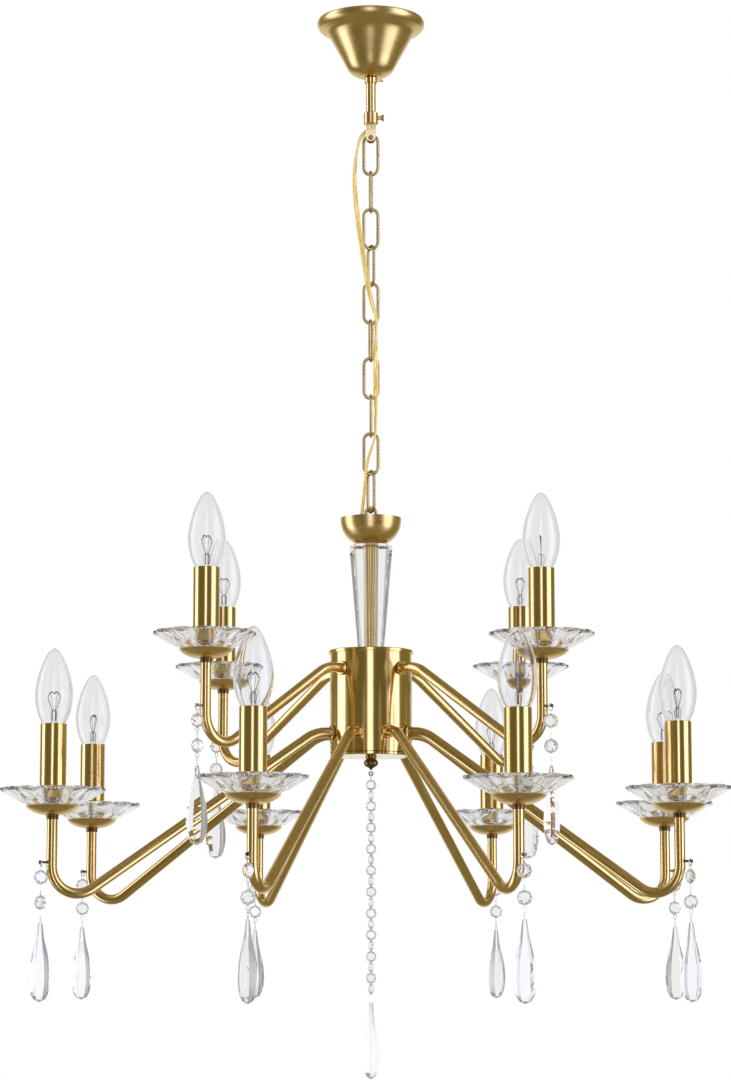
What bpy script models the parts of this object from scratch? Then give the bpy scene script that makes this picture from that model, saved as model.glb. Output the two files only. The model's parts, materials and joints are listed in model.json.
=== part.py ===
"""Two-tier candle chandelier with crystal drops, hung on a chain.

Metres, +Z up, -Y towards the front. The origin is the middle of the ceiling
bracket's flat top, the face that meets the ceiling.
"""
from math import cos, pi, radians, sin, tan

import bmesh
import bpy
from mathutils import Matrix, Vector

GAP = 0.0003

# ceiling end
BRACKET_SIZE = (0.092, 0.022, 0.0025)
STEM_RADIUS = 0.0050
STEM_BORE = 0.0034
STEM_END_Z = -0.1032
CANOPY_OUTLINE = (
    (0.0054, -0.0590), (0.0130, -0.0580), (0.0215, -0.0528), (0.0283, -0.0407), (0.0425, -0.0152),
    (0.0515, -0.0092), (0.0544, -0.0046), (0.0538, -0.0004),
)
SHEET = 0.0012
COLLAR_RADIUS = 0.0063
COLLAR_Z = (-0.0652, -0.0593)
COUPLING_RADIUS = 0.00715
COUPLING_Z = (-0.1080, -0.0958)
SCREW_Z = -0.1010
EAR_SIZE = (0.0100, 0.0021, 0.0190)
EAR_SPACE = 0.0058
CHAIN_PIN_Z = -0.1227
CHAIN_PIN_RADIUS = 0.0016

# chain and flex
LINK_WIRE = 0.0016
LINK_HALF_WIDTH = 0.0071
LINK_HALF_LENGTH = 0.02045
LINK_PITCH = 0.0382
LINK_TURNS = (0, 84, 0, -66, 0, 80, 0, 90, 0, -64)
FIRST_LINK_TOP = CHAIN_PIN_Z + CHAIN_PIN_RADIUS + GAP + 2 * LINK_WIRE
CORD_RADIUS = 0.0025
CORD_POINTS = 36
CORD_ROUTE = (
    (-0.0015, 0.0000, -0.1115), (-0.0039, 0.0000, -0.1142), (-0.0074, 0.0000, -0.1176),
    (-0.0110, 0.0002, -0.1228), (-0.0134, 0.0010, -0.1320), (-0.0152, 0.0014, -0.1420),
    (-0.0162, 0.0010, -0.1530), (-0.0164, 0.0000, -0.1680), (-0.0152, -0.0008, -0.1860),
    (-0.0134, -0.0018, -0.2040), (-0.0112, -0.0028, -0.2220), (-0.0084, -0.0040, -0.2400),
    (-0.0058, -0.0050, -0.2570), (-0.0038, -0.0052, -0.2700), (-0.0014, -0.0053, -0.2830),
    (0.0014, -0.0053, -0.2940), (0.0038, -0.0053, -0.3030), (0.0050, -0.0052, -0.3120),
    (0.0051, -0.0051, -0.3250), (0.0048, -0.0051, -0.3450), (0.0047, -0.0051, -0.3650),
    (0.0047, -0.0051, -0.3850), (0.0047, -0.0051, -0.4050), (0.0046, -0.0052, -0.4230),
    (0.0030, -0.0053, -0.4330), (0.0002, -0.0053, -0.4420), (-0.0026, -0.0053, -0.4510),
    (-0.0046, -0.0052, -0.4610), (-0.0056, -0.0048, -0.4730), (-0.0068, -0.0041, -0.4860),
    (-0.0082, -0.0034, -0.4980), (-0.0094, -0.0028, -0.5090), (-0.0103, -0.0025, -0.5180),
)

# centre column
LOOP_TOP_Z = -0.5001
LOOP_WIRE = 0.0016
LOOP_HALF_WIDTH = 0.0050
BOWL_OUTLINE = (
    (0.0302, -0.5106), (0.0297, -0.5170), (0.0274, -0.5235), (0.0225, -0.5310), (0.0156, -0.5365),
    (0.0050, -0.5372),
)
BOWL_HUB_RADIUS = 0.0065
BOWL_HUB_TOP = -0.5270
ROD_RADIUS = 0.0048
GLASS_TOP_Z = -0.5376
GLASS_TOP_RADIUS = 0.0213
GLASS_FOOT_RADIUS = 0.0128
GLASS_SIDES = 8
DRUM_TOP_Z = -0.6425
DRUM_BOTTOM_Z = -0.7435
DRUM_RADIUS = 0.04025
DRUM_WALL = 0.0015
PLATE_RADIUS = 0.0418
PLATE_THICKNESS = 0.0035
ROD_HOLE = 0.0052
ROD_NUT_RADIUS = 0.0085
ROD_NUT_THICKNESS = 0.0040
BASE_PLATE = 0.0030
FINIAL_OUTLINE = (
    (0.0054, 0.0000), (0.0050, -0.0022), (0.0071, -0.0056), (0.0058, -0.0088), (0.0013, -0.0126),
)
EYE_Z = -0.7635
EYE_RADIUS = 0.0019
EYE_WIRE = 0.0006
HOOK_RADIUS = 0.0022
HOOK_Z = EYE_Z - 0.0023

# bead string
BEAD_COUNT = 20
BEAD_PITCH = 0.0104
BEAD_RADIUS = 0.0054
BEAD_HALF_DEPTH = 0.0026
FIRST_BEAD_Z = -0.7745
DROP_LENGTH = 0.0735
DROP_HALF_WIDTH = 0.0105
DROP_HALF_DEPTH = 0.0060
STRING_DROP_TOP = -0.9850

# tiers: reach, hub height, nut height, bend angle, azimuths from the front, towards +X
LOWER = {"reach": 0.3210, "hub_z": -0.7243, "nut_z": -0.8090, "slope": radians(34.5), "start": 0.0576}
UPPER = {"reach": 0.2200, "hub_z": -0.6622, "nut_z": -0.6655, "slope": radians(32.5), "start": 0.0611}
LOWER_AZIMUTHS = (-19.0, 23.8, 63.2, 111.5, 156.0, -158.0, -117.0, -69.0)
UPPER_AZIMUTHS = (-44.5, 46.5, 135.0, -136.0)
HUB_BEND = 0.036
ELBOW_BEND = 0.025
PIPE_RADIUS = 0.0050
PIPE_HOLE = 0.0055
HUB_RING = (0.0070, 0.0408, 0.0428)
HUB_NUT = (0.0075, 0.0342, 0.0372)
PIN_DROP = 0.0450
PIN_RADIUS = 0.0013
PIN_REACH = 0.0124
PENDANT_REACH = 0.0102

# lamp parts, heights above the cup's foot
LAMP_OUTLINE = (
    (0.0, -0.0055), (0.0063, -0.0055), (0.0063, -0.0003), (0.0170, 0.0026), (0.0250, 0.0080),
    (0.0240, 0.0083), (0.0058, 0.0034), (0.0058, 0.0266), (0.0125, 0.0266), (0.0125, 0.0850),
    (0.0116, 0.0850), (0.0116, 0.0700), (0.0073, 0.0700), (0.0073, 0.0460), (0.0, 0.0460),
)
DISH_OUTLINE = (
    (0.0061, 0.0087), (0.0250, 0.0087), (0.0500, 0.0222), (0.0492, 0.0245), (0.0260, 0.0136),
    (0.0090, 0.0130), (0.0090, 0.0263), (0.0061, 0.0263),
)
BULB_OUTLINE = (
    (0.0, 0.0470), (0.0069, 0.0470), (0.0069, 0.0700), (0.0100, 0.0850), (0.0162, 0.1000),
    (0.0180, 0.1160), (0.0140, 0.1340), (0.0, 0.1570),
)

# pendant, heights below the pin's axis
PENDANT_RING = (0.0031, 0.0005)
PENDANT_BEADS = (-0.0140, -0.0375)
PENDANT_BEAD_RADIUS = 0.0070
PENDANT_BEAD_HALF_DEPTH = 0.0035
PENDANT_DROP_TOP = -0.0562
PENDANT_WIRE = 0.0006


def clear_scene():
    for obj in list(bpy.data.objects):
        bpy.data.objects.remove(obj, do_unlink=True)


def material(name, colour, roughness, metallic=0.0, transmission=0.0, alpha=1.0):
    made = bpy.data.materials.new(name)
    made.use_nodes = True
    shader = made.node_tree.nodes["Principled BSDF"]
    shader.inputs["Base Color"].default_value = (*colour, 1.0)
    shader.inputs["Roughness"].default_value = roughness
    shader.inputs["Metallic"].default_value = metallic
    shader.inputs["Transmission Weight"].default_value = transmission
    shader.inputs["Alpha"].default_value = alpha
    made.diffuse_color = (*colour, alpha)
    return made


def place(name, mesh, finish, turn=0.0, location=(0, 0, 0), parent=None):
    """Put a mesh in the scene as the object called name."""
    mesh.materials.clear()
    mesh.materials.append(finish)
    obj = bpy.data.objects.new(name, mesh)
    bpy.context.scene.collection.objects.link(obj)
    obj.parent = parent
    obj.location = location
    obj.rotation_euler = (0, 0, turn)
    return obj


def joint_empty(name, location, turn=0.0, parent=None):
    """An empty that marks a joint's axis and carries the pieces that turn on it."""
    empty = bpy.data.objects.new(name, None)
    empty.empty_display_size = 0.02
    bpy.context.scene.collection.objects.link(empty)
    empty.parent = parent
    empty.location = location
    empty.rotation_euler = (0, 0, turn)
    return empty


def under(joint, location=(0, 0, 0)):
    """A world location as seen from an unturned joint empty."""
    return Vector(location) - joint.location


def finish_mesh(bm, name):
    """Close, orient and smooth a bmesh and turn it into a mesh."""
    bmesh.ops.remove_doubles(bm, verts=bm.verts, dist=0.000002)
    bmesh.ops.recalc_face_normals(bm, faces=bm.faces)
    mesh = bpy.data.meshes.new(name)
    bm.to_mesh(mesh)
    bm.free()
    mesh.shade_smooth()
    mesh.set_sharp_from_angle(angle=radians(35))
    return mesh


def turned(name, outline, sides, closed=False, start=0.0):
    """Spin an outline of (radius, height) points about Z; closed joins its ends."""
    bm = bmesh.new()
    verts = [bm.verts.new((r * cos(start), r * sin(start), z)) for r, z in outline]
    edges = [bm.edges.new(pair) for pair in zip(verts, verts[1:])]
    if closed:
        edges.append(bm.edges.new((verts[-1], verts[0])))
    bmesh.ops.spin(bm, geom=verts + edges, cent=(0, 0, 0), axis=(0, 0, 1), angle=2 * pi,
                   steps=sides, use_merge=True)
    return finish_mesh(bm, name)


def thickened(outline, wall):
    """An open outline and its copy moved inwards by wall, as one closed loop."""
    inner = []
    last = len(outline) - 1
    for i, (r, z) in enumerate(outline):
        before = outline[max(i - 1, 0)]
        after = outline[min(i + 1, last)]
        along = Vector((after[0] - before[0], after[1] - before[1])).normalized()
        inner.append((r - along.y * wall, z + along.x * wall))
    return tuple(outline) + tuple(reversed(inner))


def piped(name, points, radius, resolution=2, cyclic=False):
    """A round bar along a run of points, with closed ends."""
    curve = bpy.data.curves.new(name, "CURVE")
    curve.dimensions = "3D"
    curve.bevel_depth = radius
    curve.bevel_resolution = resolution
    curve.use_fill_caps = not cyclic
    spline = curve.splines.new("POLY")
    spline.points.add(len(points) - 1)
    for spot, point in zip(spline.points, points):
        spot.co = (*point, 1.0)
    spline.use_cyclic_u = cyclic
    temporary = bpy.data.objects.new(name, curve)
    bpy.context.scene.collection.objects.link(temporary)
    mesh = evaluated_mesh(temporary)
    bpy.data.objects.remove(temporary)
    bm = bmesh.new()
    bm.from_mesh(mesh)
    bpy.data.meshes.remove(mesh)
    return finish_mesh(bm, name)


def evaluated_mesh(obj):
    view = bpy.context.evaluated_depsgraph_get()
    return bpy.data.meshes.new_from_object(obj.evaluated_get(view), depsgraph=view)


def moved(mesh, matrix):
    mesh.transform(matrix)
    return mesh


def bar_x(radius, x_from, x_to, z, sides=12):
    """A round bar along X."""
    mesh = turned("bar", ((0, 0), (radius, 0), (radius, x_to - x_from), (0, x_to - x_from)), sides)
    return moved(mesh, Matrix.Translation((x_from, 0, z)) @ Matrix.Rotation(radians(90), 4, "Y"))


def box(size, centre):
    bm = bmesh.new()
    bmesh.ops.create_cube(bm, size=1.0)
    bmesh.ops.scale(bm, vec=size, verts=bm.verts)
    bmesh.ops.translate(bm, vec=centre, verts=bm.verts)
    return finish_mesh(bm, "box")


def combined(name, meshes, cutters=()):
    """Unite meshes into one body, then cut others out of it."""
    objects = []
    for i, mesh in enumerate((*meshes, *cutters)):
        obj = bpy.data.objects.new(f"{name}_{i}", mesh)
        bpy.context.scene.collection.objects.link(obj)
        objects.append(obj)
    base = objects[0]
    for i, other in enumerate(objects[1:], start=1):
        step = base.modifiers.new(other.name, "BOOLEAN")
        step.solver = "EXACT"
        step.operation = "UNION" if i < len(meshes) else "DIFFERENCE"
        step.object = other
    mesh = evaluated_mesh(base)
    for obj in objects:
        bpy.data.objects.remove(obj)
    bm = bmesh.new()
    bm.from_mesh(mesh)
    bpy.data.meshes.remove(mesh)
    bmesh.ops.dissolve_limit(bm, angle_limit=radians(0.2), verts=bm.verts, edges=bm.edges)
    return finish_mesh(bm, name)


def filleted(corners, bends, steps_each):
    """A run of (reach, height) points whose inner corners are rounded by arcs."""
    points = [Vector(corners[0])]
    rounded = zip(corners, corners[1:], corners[2:], bends, steps_each)
    for before, corner, after, bend, steps in rounded:
        a = (Vector(before) - Vector(corner)).normalized()
        b = (Vector(after) - Vector(corner)).normalized()
        half = a.angle(b) / 2
        centre = Vector(corner) + (a + b).normalized() * bend / sin(half)
        first = Vector(corner) + a * bend / tan(half) - centre
        swing = first.angle_signed(Vector(corner) + b * bend / tan(half) - centre)
        for i in range(steps + 1):
            turn = Matrix.Rotation(-swing * i / steps, 2)
            points.append(centre + turn @ first)
    points.append(Vector(corners[-1]))
    return [(p.x, 0.0, p.y) for p in points]


def smooth_route(route, count):
    """Evenly stepped points on the Catmull-Rom curve through the route."""
    knots = [Vector(p) for p in (route[0], *route, route[-1])]
    fine = []
    for a, b, c, d in zip(knots, knots[1:], knots[2:], knots[3:]):
        for i in range(12):
            t = i / 12
            fine.append(0.5 * (2 * b + (c - a) * t + (2 * a - 5 * b + 4 * c - d) * t ** 2
                               + (3 * b - a - 3 * c + d) * t ** 3))
    fine.append(knots[-1])
    lengths = [0.0]
    for p, q in zip(fine, fine[1:]):
        lengths.append(lengths[-1] + (q - p).length)
    points = []
    at = 0
    for i in range(count):
        want = lengths[-1] * i / (count - 1)
        while at < len(fine) - 2 and lengths[at + 1] < want:
            at += 1
        share = (want - lengths[at]) / (lengths[at + 1] - lengths[at])
        points.append(fine[at].lerp(fine[at + 1], share))
    return points


def octagon_bead(radius, half_depth, centre_z, turn=0.0):
    """A cut bead: an eight-sided girdle between two flat tables; it faces Y."""
    rings = ((0.55, -1.0), (1.0, 0.0), (0.55, 1.0))
    outline = [(0, -half_depth)] + [(radius * r, half_depth * h) for r, h in rings] + [(0, half_depth)]
    mesh = turned("bead", outline, 8)
    moved(mesh, Matrix.Rotation(radians(90), 4, "X"))
    return moved(mesh, Matrix.Translation((0, 0, centre_z)) @ Matrix.Rotation(turn, 4, "Z"))


def crystal_drop(top_z):
    """A flat faceted drop, widest near its lower third; it faces Y."""
    rings = ((0.0, 0.20), (-0.70, 1.0), (-0.92, 0.66))
    outline = [(0, 0)] + [(r, h * DROP_LENGTH) for h, r in rings] + [(0, -DROP_LENGTH)]
    mesh = turned("drop", outline, 8, start=pi / 8)
    flat = Matrix.Diagonal((DROP_HALF_WIDTH, DROP_HALF_DEPTH, 1, 1))
    return moved(mesh, Matrix.Translation((0, 0, top_z)) @ flat)


def wire_ring(major, minor, centre, turn=0.0):
    """A wire ring standing in the XZ plane, turned about Z."""
    points = [(major * cos(a), 0, major * sin(a)) for a in (2 * pi * i / 8 for i in range(8))]
    mesh = piped("ring", points, minor, 0, cyclic=True)
    return moved(mesh, Matrix.Translation(centre) @ Matrix.Rotation(turn, 4, "Z"))


def make_bracket():
    plate = box(BRACKET_SIZE, (0, 0, -BRACKET_SIZE[2] / 2))
    plate_low = -BRACKET_SIZE[2]
    outline = (
        (0, plate_low + 0.0010), (STEM_RADIUS, plate_low + 0.0010), (STEM_RADIUS, STEM_END_Z),
        (STEM_BORE, STEM_END_Z), (STEM_BORE, plate_low - 0.0030), (0, plate_low - 0.0030),
    )
    return combined("ceiling_bracket", (plate, turned("stem", outline, 16)))


def make_collar():
    low, high = COLLAR_Z
    inner = STEM_RADIUS + GAP
    outline = ((inner, low), (COLLAR_RADIUS, low), (COLLAR_RADIUS, high), (inner, high))
    grub = bar_x(0.0009, inner + 0.0004, COLLAR_RADIUS + 0.0064, low + 0.0030, sides=6)
    return combined("canopy_collar", (turned("collar", outline, 16, closed=True), grub))


def make_coupling():
    low, high = COUPLING_Z
    socket = STEM_RADIUS + GAP
    seat = STEM_END_Z - GAP
    outline = (
        (STEM_BORE, low), (COUPLING_RADIUS, low), (COUPLING_RADIUS, high), (socket, high),
        (socket, seat), (STEM_BORE, seat),
    )
    ears = []
    for side in (-1, 1):
        centre_y = side * (EAR_SPACE + EAR_SIZE[1]) / 2
        ears.append(box(EAR_SIZE, (0, centre_y, low + 0.0010 - EAR_SIZE[2] / 2)))
    pin_half = EAR_SPACE / 2 + EAR_SIZE[1] + 0.0006
    pin = bar_x(CHAIN_PIN_RADIUS, -pin_half, pin_half, 0, sides=10)
    moved(pin, Matrix.Translation((0, 0, CHAIN_PIN_Z)) @ Matrix.Rotation(radians(90), 4, "Z"))
    hole = bar_x(0.0018, socket - 0.0010, COUPLING_RADIUS + 0.0010, SCREW_Z, sides=8)
    body = turned("coupling", outline, 16, closed=True)
    return combined("chain_coupling", (body, *ears, pin), (hole,))


def make_coupling_screw():
    """Thumb screw with a waisted head; it turns about X."""
    tip = STEM_RADIUS + GAP + 0.0001
    outline = (
        (0, tip), (0.0014, tip), (0.0014, COUPLING_RADIUS + 0.0004), (0.0026, COUPLING_RADIUS + 0.0004),
        (0.0018, COUPLING_RADIUS + 0.0026), (0.0033, COUPLING_RADIUS + 0.0048),
        (0.0033, COUPLING_RADIUS + 0.0062), (0, COUPLING_RADIUS + 0.0062),
    )
    mesh = turned("coupling_screw", outline, 8)
    return moved(mesh, Matrix.Rotation(radians(90), 4, "Y"))


def link_points(centre_z, turn):
    """The middle line of one long link, turned about Z."""
    straight = LINK_HALF_LENGTH - LINK_HALF_WIDTH
    points = []
    for end in (0, 1):
        for i in range(5):
            a = pi * end + pi * i / 4
            x = LINK_HALF_WIDTH * cos(a)
            z = LINK_HALF_WIDTH * sin(a) + (straight if end == 0 else -straight)
            points.append((x * cos(turn), x * sin(turn), centre_z + z))
    return points


def make_chain():
    links = []
    for i, turn in enumerate(LINK_TURNS):
        centre_z = FIRST_LINK_TOP - LINK_WIRE - LINK_HALF_LENGTH - i * LINK_PITCH
        links.append(piped("link", link_points(centre_z, radians(turn)), LINK_WIRE, 1, cyclic=True))
    return combined("chain", links)


def make_bowl():
    """Half-round bowl with its hanging loop and the rod that runs down to the drum."""
    inside = thickened(BOWL_OUTLINE, -SHEET)[len(BOWL_OUTLINE):]
    nut_top = DRUM_TOP_Z - PLATE_THICKNESS - GAP
    outline = (
        (0, BOWL_HUB_TOP), (BOWL_HUB_RADIUS, BOWL_HUB_TOP), (BOWL_HUB_RADIUS, inside[1][1]),
        *inside[1:], *BOWL_OUTLINE[:-1], (ROD_RADIUS, BOWL_OUTLINE[-1][1]), (ROD_RADIUS, nut_top),
        (ROD_NUT_RADIUS, nut_top), (ROD_NUT_RADIUS, nut_top - ROD_NUT_THICKNESS),
        (0, nut_top - ROD_NUT_THICKNESS),
    )
    foot = BOWL_HUB_TOP - 0.0020
    arch = [(LOOP_HALF_WIDTH, 0, foot)]
    for i in range(7):
        a = pi * i / 6
        height = LOOP_TOP_Z - LOOP_HALF_WIDTH + LOOP_HALF_WIDTH * sin(a)
        arch.append((LOOP_HALF_WIDTH * cos(a), 0, height))
    arch.append((-LOOP_HALF_WIDTH, 0, foot))
    return combined("bowl", (turned("bowl", outline, 16), piped("loop", arch, LOOP_WIRE, 2)))


def make_glass_column():
    low = DRUM_TOP_Z + GAP
    bore = ROD_RADIUS + GAP + 0.0004
    bevel = 0.0015
    outline = (
        (bore, low), (GLASS_FOOT_RADIUS, low), (GLASS_TOP_RADIUS, GLASS_TOP_Z - bevel),
        (GLASS_TOP_RADIUS - bevel, GLASS_TOP_Z), (bore, GLASS_TOP_Z),
    )
    return turned("glass_column", outline, GLASS_SIDES, closed=True, start=pi / 8)


def make_drum():
    """A can with its top plate, open below, with a hole for each arm."""
    plate_low = DRUM_TOP_Z - PLATE_THICKNESS
    inner = DRUM_RADIUS - DRUM_WALL
    outline = (
        (ROD_HOLE, DRUM_TOP_Z), (PLATE_RADIUS, DRUM_TOP_Z), (PLATE_RADIUS, plate_low),
        (DRUM_RADIUS, plate_low), (DRUM_RADIUS, DRUM_BOTTOM_Z), (inner, DRUM_BOTTOM_Z),
        (inner, plate_low), (ROD_HOLE, plate_low),
    )
    cutters = []
    for tier, azimuths in ((LOWER, LOWER_AZIMUTHS), (UPPER, UPPER_AZIMUTHS)):
        for azimuth in azimuths:
            hole = bar_x(PIPE_HOLE, inner - 0.003, DRUM_RADIUS + 0.003, tier["hub_z"], sides=10)
            cutters.append(moved(hole, Matrix.Rotation(radians(azimuth - 90), 4, "Z")))
    body = turned("hub_drum", outline, 28, closed=True)
    return combined("hub_drum", (body,), cutters)


def make_base_and_finial():
    """The drum's base plate with the finial and its small eye."""
    top = DRUM_BOTTOM_Z - GAP
    low = top - BASE_PLATE
    outline = [(0, top), (DRUM_RADIUS, top), (DRUM_RADIUS, low), (FINIAL_OUTLINE[0][0], low)]
    outline += [(r, low + z) for r, z in FINIAL_OUTLINE[1:]]
    outline.append((0, low + FINIAL_OUTLINE[-1][1]))
    eye = wire_ring(EYE_RADIUS, EYE_WIRE, (0, 0, EYE_Z))
    stalk = piped("stalk", [(0, 0, low - 0.0110), (0, 0, EYE_Z + EYE_RADIUS)], 0.0008, 1)
    return combined("base_and_finial", (turned("base", outline, 20), stalk, eye))


def make_bead_string():
    """Cut beads turned a quarter from one to the next, with a drop at the foot."""
    last_bead_z = FIRST_BEAD_Z - (BEAD_COUNT - 1) * BEAD_PITCH
    pieces = [
        wire_ring(HOOK_RADIUS, EYE_WIRE, (0, 0, HOOK_Z), turn=pi / 2),
        piped("wire", [(0, 0, HOOK_Z - HOOK_RADIUS), (0, 0, FIRST_BEAD_Z + 0.0030)], EYE_WIRE, 0),
        piped("wire", [(0, 0, last_bead_z - 0.0030), (0, 0, STRING_DROP_TOP - 0.0030)], EYE_WIRE, 0),
    ]
    for i in range(BEAD_COUNT):
        turn = 0 if i % 2 == 0 else pi / 2
        pieces.append(octagon_bead(BEAD_RADIUS, BEAD_HALF_DEPTH, FIRST_BEAD_Z - i * BEAD_PITCH, turn))
    drop = moved(crystal_drop(STRING_DROP_TOP), Matrix.Rotation(radians(40), 4, "Z"))
    return combined("bead_string", (*pieces, drop))


def make_arm(name, tier):
    """One arm lying along +X: pipe, hub fittings, cup, lampholder, sleeve and pin."""
    elbow_z = tier["hub_z"] - (tier["reach"] - tier["start"]) * tan(tier["slope"])
    corners = (
        (HUB_NUT[1] - 0.0012, tier["hub_z"]), (tier["start"], tier["hub_z"]),
        (tier["reach"], elbow_z), (tier["reach"], tier["nut_z"] - 0.0020),
    )
    pipe = piped("pipe", filleted(corners, (HUB_BEND, ELBOW_BEND), (3, 5)), PIPE_RADIUS, 2)
    ring = bar_x(*HUB_RING, tier["hub_z"], sides=8)
    nut = bar_x(*HUB_NUT, tier["hub_z"], sides=6)
    lamp = moved(turned("lamp", LAMP_OUTLINE, 10), Matrix.Translation((tier["reach"], 0, tier["nut_z"])))
    pin = bar_x(PIN_RADIUS, tier["reach"], tier["reach"] + PIN_REACH, tier["nut_z"] - PIN_DROP, sides=6)
    return combined(name, (pipe, ring, nut, lamp, pin))


def make_pendant():
    """Wire ring, two beads and a drop on one wire; the ring's axis is X."""
    ring_radius, wire_radius = PENDANT_RING
    ring_z = PIN_RADIUS + GAP + wire_radius - ring_radius
    pieces = [
        piped("wire", [(0, 0, ring_z - ring_radius), (0, 0, PENDANT_DROP_TOP - 0.0030)], PENDANT_WIRE, 0),
        wire_ring(ring_radius, wire_radius, (0, 0, ring_z), turn=pi / 2),
    ]
    for z in PENDANT_BEADS:
        pieces.append(octagon_bead(PENDANT_BEAD_RADIUS, PENDANT_BEAD_HALF_DEPTH, z, pi / 2))
    drop = moved(crystal_drop(PENDANT_DROP_TOP), Matrix.Rotation(pi / 2, 4, "Z"))
    return combined("pendant", (*pieces, drop))


def place_tier(prefix, tier, azimuths, meshes, finishes, fixture):
    """Copies of the arm, dish, bulb and pendant round the axis, one set for each azimuth."""
    for i, azimuth in enumerate(azimuths, start=1):
        turn = radians(azimuth - 90)
        lamp_x = tier["reach"] * cos(turn)
        lamp_y = tier["reach"] * sin(turn)
        foot = under(fixture, (lamp_x, lamp_y, tier["nut_z"]))
        pin_reach = tier["reach"] + PENDANT_REACH
        pin_z = tier["nut_z"] - PIN_DROP
        pin = under(fixture, (pin_reach * cos(turn), pin_reach * sin(turn), pin_z))
        place(f"{prefix}_arm_{i}", meshes[f"{prefix}_arm"], finishes["brass"], turn, under(fixture), fixture)
        place(f"{prefix}_dish_{i}", meshes["dish"], finishes["crystal"], turn, foot, fixture)
        place(f"{prefix}_bulb_{i}", meshes["bulb"], finishes["lamp_glass"], turn, foot, fixture)
        hinge = joint_empty(f"{prefix}_pin_{i}", pin, turn, fixture)
        place(f"{prefix}_pendant_{i}", meshes["pendant"], finishes["crystal"], parent=hinge)


def main():
    clear_scene()
    finishes = {
        "brass": material("satin_brass", (0.62, 0.44, 0.18), 0.25, metallic=1.0),
        "crystal": material("cut_crystal", (0.95, 0.96, 0.97), 0.03, transmission=1.0),
        "lamp_glass": material("lamp_glass", (0.96, 0.96, 0.96), 0.02, transmission=1.0),
        "flex": material("gold_flex", (0.85, 0.62, 0.22), 0.30),
    }
    brass = finishes["brass"]
    place("ceiling_bracket", make_bracket(), brass)
    place("canopy", turned("canopy", thickened(CANOPY_OUTLINE, SHEET), 20, closed=True), brass)
    place("canopy_collar", make_collar(), brass)
    place("chain_coupling", make_coupling(), brass)
    place("coupling_screw", make_coupling_screw(), brass, location=(0, 0, SCREW_Z))

    swing = joint_empty("chain_swing", (0, 0, CHAIN_PIN_Z))
    place("chain", make_chain(), brass, location=under(swing), parent=swing)
    cord = piped("flex_cord", smooth_route(CORD_ROUTE, CORD_POINTS), CORD_RADIUS, 2)
    place("flex_cord", cord, finishes["flex"], location=under(swing), parent=swing)

    fixture = joint_empty("fixture_swing", (0, 0, LOOP_TOP_Z))
    place("bowl", make_bowl(), brass, location=under(fixture), parent=fixture)
    place("glass_column", make_glass_column(), finishes["crystal"], location=under(fixture), parent=fixture)
    place("hub_drum", make_drum(), brass, location=under(fixture), parent=fixture)
    place("base_and_finial", make_base_and_finial(), brass, location=under(fixture), parent=fixture)

    string_pin = (0, 0, EYE_Z - EYE_RADIUS)
    eye = joint_empty("bead_string_swing", under(fixture, string_pin), parent=fixture)
    beads = moved(make_bead_string(), Matrix.Translation(-Vector(string_pin)))
    place("bead_string", beads, finishes["crystal"], parent=eye)
    meshes = {
        "lower_arm": make_arm("lower_arm", LOWER),
        "upper_arm": make_arm("upper_arm", UPPER),
        "dish": turned("dish", DISH_OUTLINE, 12, closed=True),
        "bulb": turned("bulb", BULB_OUTLINE, 8),
        "pendant": make_pendant(),
    }
    place_tier("lower", LOWER, LOWER_AZIMUTHS, meshes, finishes, fixture)
    place_tier("upper", UPPER, UPPER_AZIMUTHS, meshes, finishes, fixture)


main()
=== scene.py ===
# %% [markdown]
# # A two-tier candle chandelier
#
# The real object is satin brass, cut glass and twelve clear candle lamps, hung from the ceiling on a
# chain. This lesson dresses a finished mechanical frame: the frame says where every part is and how it
# moves, and each cell below works out the true surface of one kind of part as a grid of points.
# We start by loading the frame and its joints.

# %% Load the frame
import json
from math import atan2, degrees, hypot, pi, radians, tan

import bmesh
import bpy
import numpy as np
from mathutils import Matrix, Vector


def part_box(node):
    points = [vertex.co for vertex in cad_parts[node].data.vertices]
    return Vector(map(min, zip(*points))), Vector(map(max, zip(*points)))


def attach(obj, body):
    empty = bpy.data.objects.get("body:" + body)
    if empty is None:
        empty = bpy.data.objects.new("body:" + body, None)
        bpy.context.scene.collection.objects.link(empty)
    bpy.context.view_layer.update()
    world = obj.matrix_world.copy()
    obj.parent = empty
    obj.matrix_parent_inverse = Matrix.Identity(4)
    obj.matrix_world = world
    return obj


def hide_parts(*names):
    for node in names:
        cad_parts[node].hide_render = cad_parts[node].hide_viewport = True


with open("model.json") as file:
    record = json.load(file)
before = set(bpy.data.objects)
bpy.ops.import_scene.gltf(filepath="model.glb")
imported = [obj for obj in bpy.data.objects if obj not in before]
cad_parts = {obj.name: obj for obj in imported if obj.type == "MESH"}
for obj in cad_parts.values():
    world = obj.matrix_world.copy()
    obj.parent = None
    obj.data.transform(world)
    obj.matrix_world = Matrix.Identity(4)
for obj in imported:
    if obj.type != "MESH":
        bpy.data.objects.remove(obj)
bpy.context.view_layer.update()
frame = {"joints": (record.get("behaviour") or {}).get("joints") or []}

joints = {joint["name"]: joint for joint in frame["joints"]}

# %% [markdown]
# ## The camera
#
# A hanging light is looked at from about its own height, a little upwards. A long lens from three
# metres keeps the upright sleeves nearly parallel. Making the camera first lets us judge each part
# from the right side as it is added. Light may bounce twenty times, because a ray that is stopped inside
# a piece of glass leaves it black.

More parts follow.
